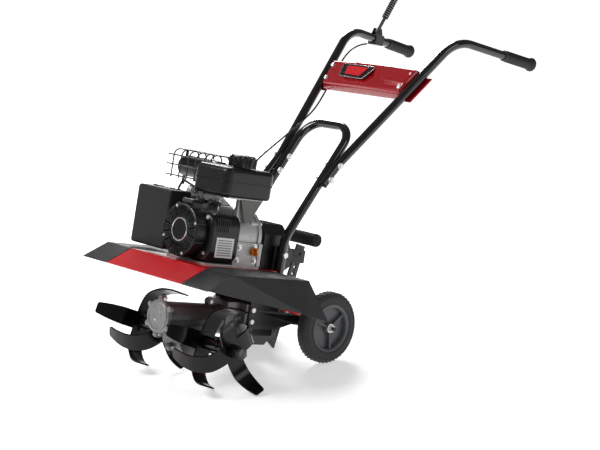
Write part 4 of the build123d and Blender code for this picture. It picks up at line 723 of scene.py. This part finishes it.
# ---------- muffler guard: bent wires round the drum, welded where they cross
guard = {"wire": 0.0021, "hoops": (-0.240, -0.206, -0.172, -0.138, -0.104, -0.078), "levels": (0.419, 0.449, 0.476),
         "runs": (0.080, 0.104, 0.128)}
wires = []
for x in guard["hoops"]:
    points = [at(x, 0.058, 0.412), at(x, 0.058, 0.494), at(x, 0.150, 0.494), at(x, 0.150, 0.412)]
    wires.append(tubeMesh(roundedRoute(points, [0.020, 0.020], 8), guard["wire"], "blackSteel", 12))
for w in guard["levels"]:
    points = [at(-0.262, 0.056, w), at(-0.240, 0.058, w), at(-0.072, 0.058, w)]
    wires.append(tubeMesh(roundedRoute(points, [0.006], 5), guard["wire"], "blackSteel", 12))
for u in guard["runs"]:
    wires.append(tubeMesh([at(-0.246, u, 0.494), at(-0.072, u, 0.494)], guard["wire"], "blackSteel", 12))
mount = boxMesh((0.002, 0.010, 0.098), 0.0004)
mount.transform(machine @ Matrix.Translation((-0.2381, 0.104, 0.444)))
foot = turnedMesh([(0, -0.0002), (0.0088, 0), (0.0088, 0.0066), (0, 0.0068)], 24)
foot.transform(frameAt(at(-0.2388, 0.104, 0.444), (1, 0, 0)))
settle("mufflerGuard", joined(*wires, mount, foot), "blackSteel", "frame", ["muffler_guard"])
louvre = boxMesh((0.0035, 0.030, 0.0012), 0.0004)
louvres = repeatAlong(louvre, 9, (0.0125, 0, 0), machine @ Matrix.Translation((-0.212, 0.104, 0.4786)), "blackSteel")
settle("mufflerLouvres", louvres, "blackSteel", "frame")
print("cap and muffler guard made")

# ---------- recoil starter face: scalloped plate, radial ribs, badge disc and trim ring
recoil = {"w": 0.289, "front": -0.079, "ribs": 44, "lobes": 8, "bolts": 4, "circle": 0.0662, "turn": math.radians(22)}
badge = frameAt(at(0, recoil["front"], recoil["w"]), facingFront, (1, 0, 0))
turned = Matrix.Rotation(recoil["turn"], 4, "Z")
plateProfile = [(0.0655, -0.0006), (0.0662, 0.0012), (0.0690, 0.0016), (0.0712, 0.0004), (0.0722, -0.0060),
                (0.0700, -0.0062),
                (0.0655, -0.0006)]
lobe = turnedMesh([(0, 0.0014), (0.0076, 0.0012), (0.0090, -0.0002), (0.0092, -0.0300), (0, -0.0302)], 28)
lobes = repeatRound(lobe, recoil["lobes"], recoil["circle"], turned, "enginePlastic")
screw = turnedMesh([(0, 0.0026), (0.0030, 0.0024), (0.0040, 0.0012), (0.0041, 0.0004)], 20)
rib = boxMesh((0.0300, 0.0019, 0.0026), 0.0006)
ribs = repeatRound(rib, recoil["ribs"], 0.0510, Matrix.Translation((0, 0, 0.0006)), "enginePlastic")
bands = [turnedMesh([(r - 0.0011, -0.001), (r - 0.0008, 0.0013), (r + 0.0008, 0.0013), (r + 0.0011, -0.001),
                     (r - 0.0011, -0.001)], 80)
         for r in (0.0355, 0.0505)]
face = joined(turnedMesh(plateProfile, 96), lobes, ribs, *bands)
settle("recoilFace", moved(face, badge), "enginePlastic", "frame")
screws = repeatRound(screw, recoil["bolts"], recoil["circle"], badge @ turned, "zinc")
settle("recoilScrews", screws, "zinc", "frame")
disc = turnedMesh([(0, 0.0016), (0.0268, 0.0016), (0.0278, 0.0008), (0.0278, -0.0010)], 72)
settle("recoilDisc", moved(disc, badge), "blackTube", "frame")
ring = turnedMesh([(0.0284, -0.0005), (0.0286, 0.0020), (0.0294, 0.0028), (0.0314, 0.0028), (0.0322, 0.0020),
                   (0.0324, -0.0005),
                   (0.0284, -0.0005)], 96)
settle("recoilTrim", moved(ring, badge), "silverTrim", "frame")

# ---------- blower housing: blank label with plain bars, and vents
housing = {"side": 0.0901, "label": (0.009, 0.258), "half": (0.031, 0.027), "bars": 7, "barStep": 0.0066,
           "barLow": 0.238,
           "barFace": 0.0908, "vents": 7, "ventStep": 0.0068, "ventStart": (0.0902, -0.026, 0.318)}
across, tall = housing["half"]
label = plateMesh([(-across, -tall), (across, -tall), (across, tall), (-across, tall)], 0.0005)
label.transform(frameAt(at(housing["side"], *housing["label"]), (1, 0, 0), rearward))
settle("blankLabel", label, "paleLabel", "frame")
strip = boxMesh((0.050, 0.0030, 0.0003), 0.0001, 1)
barPlace = frameAt(at(housing["barFace"], housing["label"][0], housing["barLow"]), (1, 0, 0), rearward)
strips = repeatAlong(strip, housing["bars"], (0, housing["barStep"], 0), barPlace, "grayPlastic")
settle("labelBars", strips, "grayPlastic", "frame")
ventBar = boxMesh((0.0030, 0.0024, 0.036), 0.0006)
ventPlace = machine @ Matrix.Translation(housing["ventStart"])
vents = repeatAlong(ventBar, housing["vents"], (0, housing["ventStep"], 0), ventPlace, "enginePlastic")
settle("housingVents", vents, "enginePlastic", "frame")

# ---------- air cleaner: two clips over the joint
air = {"clips": ((-0.185, 0.3868), (-0.112, 0.3868)), "joint": -0.022}
clips = []
for x, w in air["clips"]:
    clip = boxMesh((0.016, 0.030, 0.0034), 0.0012)
    clip.transform(machine @ Matrix.Translation((x, air["joint"], w)))
    pin = turnedMesh([(0, -0.009), (0.0022, -0.0088), (0.0022, 0.0088), (0, 0.009)], 16)
    pin.transform(frameAt(at(x, air["joint"] - 0.012, w + 0.0012), (1, 0, 0)))
    clips += [clip, pin]
settle("airClips", joined(*clips), "enginePlastic", "frame")

# ---------- belt cover: ribs over its top and rear
ribRows = (
    {"size": (0.0032, 0.0780, 0.0040), "count": 8, "step": 0.0104, "start": (-0.0364, 0.2180, 0.3304)},
    {"size": (0.0032, 0.0040, 0.2600), "count": 7, "step": 0.0150, "start": (-0.0450, 0.2624, 0.1600)},
)
rows = [repeatAlong(boxMesh(row["size"], 0.0010), row["count"], (row["step"], 0, 0),
                    machine @ Matrix.Translation(row["start"]), "enginePlastic") for row in ribRows]
settle("beltRibs", joined(*rows), "enginePlastic", "frame")
print("engine face details made")

# ---------- handle joint: bright washers and domed heads on the sides that face left, and the crankcase bolts
jointBolts = {"faces": (0.1326, -0.0794), "spots": ((0.3235, 0.477), (0.351, 0.519))}
domeShape = [(0, 0.0052), (0.0036, 0.0048), (0.0058, 0.0030), (0.0064, 0.0012), (0.0092, 0.0010), (0.0094, -0.0006)]
domes = [moved(turnedMesh(domeShape, 32), frameAt(at(x, u, w), (1, 0, 0)))
         for x in jointBolts["faces"] for u, w in jointBolts["spots"]]
settle("jointDomes", joined(*domes), "zinc", "frame")
case = {"side": 0.0787, "flats": 0.010, "head": 0.0055,
        "spots": ((0.072, 0.262), (0.127, 0.267), (0.070, 0.226), (0.132, 0.228))}
caseSpots = [(at(case["side"], u, w), (1, 0, 0)) for u, w in case["spots"]]
settle("caseBolts", boltsMesh(caseSpots, case["flats"], case["head"]), "zinc", "frame")

# ---------- tank bracket: a black cheek over the bracket plate
cheekShape = {"x": 0.0654, "thick": 0.0052,
              "outline": [(0.0594, 0.3914), (0.0836, 0.3293), (0.1004, 0.3293), (0.1346, 0.3914)]}
cheek = plateMesh(cheekShape["outline"], cheekShape["thick"])
cheek.transform(frameAt(at(cheekShape["x"], 0, 0), (1, 0, 0), rearward))
settle("tankCheek", cheek, "blackSteel", "frame")

# ---------- gearbox nose: a dished cap with a collar and six lobes
nose = {"u": -0.1081, "w": 0.051,
        "spots": ((0, 0.048), (0, -0.048), (0.041, 0.026), (-0.041, 0.026), (0.041, -0.026), (-0.041, -0.026))}
capRun = [(0, 0.0010), (0.0120, 0.0012), (0.0135, 0.0022), (0.0150, 0.0010), (0.0335, 0.0012), (0.0350, 0.0030),
          (0.0385, 0.0030), (0.0402, 0.0018), (0.0406, 0.0000)]
collarRun = [(0.0410, -0.0120), (0.0448, -0.0116), (0.0452, -0.0010), (0.0444, 0.0000), (0.0410, 0.0002),
             (0.0410, -0.0120)]
earRun = [(0, -0.0118), (0.0078, -0.0116), (0.0080, -0.0008), (0.0070, 0.0004), (0, 0.0006)]
nosePlace = frameAt(at(0, nose["u"], nose["w"]), facingFront, (1, 0, 0))
noseParts = [moved(turnedMesh(run, 72), nosePlace) for run in (capRun, collarRun)]
noseParts += [moved(turnedMesh(earRun, 28), nosePlace @ Matrix.Translation((x, y, 0))) for x, y in nose["spots"]]
settle("gearboxNose", joined(*noseParts), "noseAlloy", "frame")
print("bracket and nose made")

# ---------- console: an arched skin with a step running across it, a dark surround, a plain badge and end screws
slopeRun = (handles["corner"][1] - handles["bolt"][1], handles["corner"][2] - handles["bolt"][2])
plane = {"low": 0.740, "slope": math.atan2(slopeRun[1], slopeRun[0])}
panelOut = (-rearward * math.sin(plane["slope"]) + upward * math.cos(plane["slope"])).normalized()
lowU = handles["bolt"][1] + (plane["low"] - handles["bolt"][2]) * slopeRun[0] / slopeRun[1]
consolePlace = frameAt(at(0, lowU, plane["low"]), panelOut, (1, 0, 0))


def consoleHalf(y):
    t = (plane["low"] - handles["bolt"][2] + y * math.sin(plane["slope"])) / slopeRun[1]
    return handles["bolt"][0] + t * (handles["corner"][0] - handles["bolt"][0]) - 0.0137


panel = {"tall": 0.0955, "across": 96, "up": 30, "deep": -0.0155, "arch": 0.0125, "step": 0.0085}
work = bmesh.new()
grid = []
for i in range(panel["across"] + 1):
    column = []
    for k in range(panel["up"] + 1):
        y = 0.0006 + (panel["tall"] - 0.0012) * k / panel["up"]
        half = consoleHalf(y)
        a = 2 * i / panel["across"] - 1
        v = k / panel["up"]
        ridge = 0.62 - 0.34 * max(-1.0, min(1.0, (a - 0.05) / 0.45)) ** 3 * 0.9
        over = 1 / (1 + math.exp(-(v - ridge) * 34))
        crown = 0.0128 + panel["arch"] * 0.32 * (1 - a * a) + panel["step"] * over * (1 - 0.35 * a * a)
        edge = max(0.0, 1 - v * 9) ** 2 + max(0.0, 1 - (1 - v) * 9) ** 2 + max(0.0, 1 - (1 - abs(a)) * 26) ** 2
        column.append(work.verts.new((a * half, y, crown - 0.016 * min(1.0, edge))))
    grid.append(column)
for left, right in zip(grid, grid[1:]):
    for k in range(panel["up"]):
        work.faces.new((left[k], right[k], right[k + 1], left[k + 1]))
border = [column[0] for column in grid] + grid[-1][1:] + [column[-1] for column in reversed(grid[:-1])] + grid[0][-2:0:-1]
low = [work.verts.new((v.co.x, v.co.y, panel["deep"])) for v in border]
for a, b, c, d in zip(border, border[1:] + border[:1], low[1:] + low[:1], low):
    work.faces.new((d, c, b, a))
work.faces.new(list(reversed(low)))
bmesh.ops.recalc_face_normals(work, faces=work.faces)
settle("consoleSkin", moved(meshFrom(work, "consoleSkin"), consolePlace), "redPlastic", "frame", ["console_panel"],
       50)
surround = plateMesh([(-0.088, 0.028), (0.004, 0.026), (0.030, 0.070), (-0.098, 0.070)], 0.0016)
settle("consoleSurround",
       moved(surround, consolePlace @ Matrix.Translation((0, 0, 0.0240)) @ Matrix.Rotation(0.07, 4, "X")),
       "enginePlastic", "frame")
plate = plateMesh([(-0.070, 0.034), (-0.010, 0.032), (0.008, 0.064), (-0.078, 0.064)], 0.0012)
settle("consoleBadge",
       moved(plate, consolePlace @ Matrix.Translation((0, 0, 0.0262)) @ Matrix.Rotation(0.07, 4, "X")),
       "badgePlate", "frame")
rim = [(-0.090, 0.027), (0.005, 0.025), (0.032, 0.071), (-0.100, 0.071)]
edge = roundedRoute([Vector((x, y, 0)) for x, y in (rim[3], rim[0], rim[1], rim[2], rim[3])], [0.005] * 3, 6)
trim = tubeMesh(edge[:-1], 0.0010, "silverTrim", 10, closed=True)
settle("consoleTrim", moved(trim, consolePlace @ Matrix.Translation((0, 0, 0.0248)) @ Matrix.Rotation(0.07, 4, "X")),
       "silverTrim", "frame")
flanges = []
for sign in (-1, 1):
    a, b = consoleHalf(0) + 0.0137, consoleHalf(panel["tall"]) + 0.0137
    outline = [(sign * (a - 0.0165), -0.004), (sign * (a + 0.022), -0.004), (sign * (b + 0.022), 0.0895),
               (sign * (b - 0.0165), 0.0895)]
    flanges.append(plateMesh(outline[::sign], 0.0026))
settle("consoleFlanges", moved(joined(*flanges), consolePlace @ Matrix.Translation((0, 0, -0.0170))), "redPlastic",
       "frame")
headShape = [(0, 0.0046), (0.0040, 0.0044), (0.0062, 0.0030), (0.0068, 0.0006), (0.0068, -0.001)]
heads = []
for sign in (-1, 1):
    for y in (0.022, 0.072):
        head = turnedMesh(headShape, 28)
        head.transform(consolePlace @ Matrix.Translation((sign * (consoleHalf(y) - 0.013), y, 0.0150)))
        heads.append(head)
settle("consoleScrews", joined(*heads), "zinc", "frame")
print("console made")

# ---------- tine control: lever with a ribbed sleeve, and its cable
lever = {"pivot": (-0.2318, 0.780, 0.9385), "open": math.radians(62)}
gripLine = (at(-0.2501, 0.9569, 0.9013) - at(-0.218, 0.647, 0.9257)).normalized()
leverRun = (gripLine - upward * gripLine.dot(upward)).normalized()
leverUp = leverRun * math.cos(lever["open"]) + upward * math.sin(lever["open"])
pivot = at(*lever["pivot"])
bar = turnedMesh([(0, 0.004), (0.0052, 0.004), (0.0054, 0.050), (0.0036, 0.052), (0.0036, 0.165), (0, 0.166)], 28)
bar.transform(frameAt(pivot, leverUp))
hub = turnedMesh([(0.00356, -0.0058), (0.0084, -0.0058), (0.0088, -0.0050), (0.0088, 0.0050), (0.0084, 0.0058),
                  (0.00356, 0.0058),
                  (0.00356, -0.0058)], 40)
hub.transform(frameAt(pivot, leverRun.cross(upward)))
settle("leverBar", joined(bar, hub), "blackSteel", "lever", ["control_lever"])
bead = [(0.0036, 0.052)]
for i in range(15):
    start = 0.0535 + i * 0.0078
    bead += [(0.0062, start), (0.0106, start + 0.0016), (0.0106, start + 0.0048), (0.0062, start + 0.0064)]
bead += [(0.0050, 0.1705), (0, 0.1708)]
settle("leverSleeve", moved(turnedMesh(bead, 28), frameAt(pivot, leverUp)), "gripRubber", "lever")
# silver bands between the sleeve's ribs: painted highlights standing in for the glossy lever's chain of glints
highlightBand = turnedMesh([(0.0100, -0.0007), (0.0109, -0.0005), (0.0109, 0.0005), (0.0100, 0.0007), (0.0100, -0.0007)], 28)
bands = repeatAlong(highlightBand, 14, (0, 0, 0.0078), frameAt(pivot + leverUp * 0.0567, leverUp), "silverTrim")
settle("leverBands", bands, "silverTrim", "lever")
cable = {"radius": 0.0026, "points": [
    (-0.228, 0.738, 0.895), (-0.221, 0.700, 0.886), (-0.210, 0.656, 0.866), (-0.194, 0.617, 0.838),
    (-0.178, 0.571, 0.780),
    (-0.159, 0.520, 0.708), (-0.141, 0.476, 0.664), (-0.122, 0.408, 0.616), (-0.104, 0.300, 0.540),
    (-0.097, 0.247, 0.500),
    (-0.092, 0.220, 0.462), (-0.084, 0.214, 0.408), (-0.076, 0.218, 0.350), (-0.0688, 0.224, 0.306)],
    "bends": [0.182, 0.209, 0.157, 1.286, 0.327, 0.333, 0.863, 1.337, 0.137, 0.082, 0.277, 0.577]}
route = roundedRoute([at(*p) for p in cable["points"]], cable["bends"], 8)
settle("controlCable", tubeMesh(route, cable["radius"], "gripRubber", 16), "gripRubber", "frame", ["control_cable"])

# ---------- engine plumbing: fuel line, governor rod and return spring
plumbing = {
    "fuelLine": ("gripRubber",
                 0.0030,
                 [(-0.020, 0.010, 0.396), (-0.030, -0.004, 0.380), (-0.070, 0.002, 0.372), (-0.092, 0.012, 0.364)],
                 0.010),
    "governorRod": ("plainSteel",
                    0.0011,
                    [(0.058, 0.010, 0.352), (0.040, -0.001, 0.366), (-0.040, 0.000, 0.366), (-0.088, 0.020, 0.352)],
                    0.006),
    "returnSpring": ("plainSteel", 0.0019, [(0.030, -0.002, 0.356), (-0.005, -0.001, 0.360), (-0.050, 0.006, 0.357)],
                     0.030),
}
for name, (finishName, radius, points, bend) in plumbing.items():
    route = roundedRoute([at(*p) for p in points], [bend] * (len(points) - 2), 8)
    settle(name, tubeMesh(route, radius, finishName, 12), finishName, "frame")
print("controls and plumbing made")

# ---------- floor
floorMesh = plateMesh([(-60, -60), (60, -60), (60, 60), (-60, 60)], 0.01)
floorMesh.transform(Matrix.Translation((0, 0, -0.0102)))
floor = bpy.data.objects.new("floor", floorMesh)
bpy.context.collection.objects.link(floor)
floorFinish = bpy.data.materials.new("paleFloor")
floorFinish.use_nodes = True
floorShader = floorFinish.node_tree.nodes["Principled BSDF"]
floorShader.inputs["Base Color"].default_value = opaque((studio["floor"],) * 3)
floorShader.inputs["Roughness"].default_value = 0.6
floorShader.inputs["Emission Strength"].default_value = 1
floorBoard = Board(floorFinish.node_tree, emptied=False)
# the floor's glow rises with distance from the machine: painted light that keeps the far floor white where the lamps
# fall off, with less glow near the machine so its cast shadows show
away = floorBoard.node("ShaderNodeVectorMath", {"operation": "LENGTH"},
                       {0: floorBoard.node("ShaderNodeTexCoord").out("Object")}).out("Value")
near, far = studio["fade"]
paintedFloorLight = floorBoard.node("ShaderNodeMath", {"operation": "MINIMUM", "use_clamp": True},
                       {0: (away - near) / (far - near), 1: 1.0})
low, high = studio["glow"]
floorBoard.feed(floorShader.inputs["Emission Color"], low + paintedFloorLight * (high - low))
floorMesh.materials.append(floorFinish)
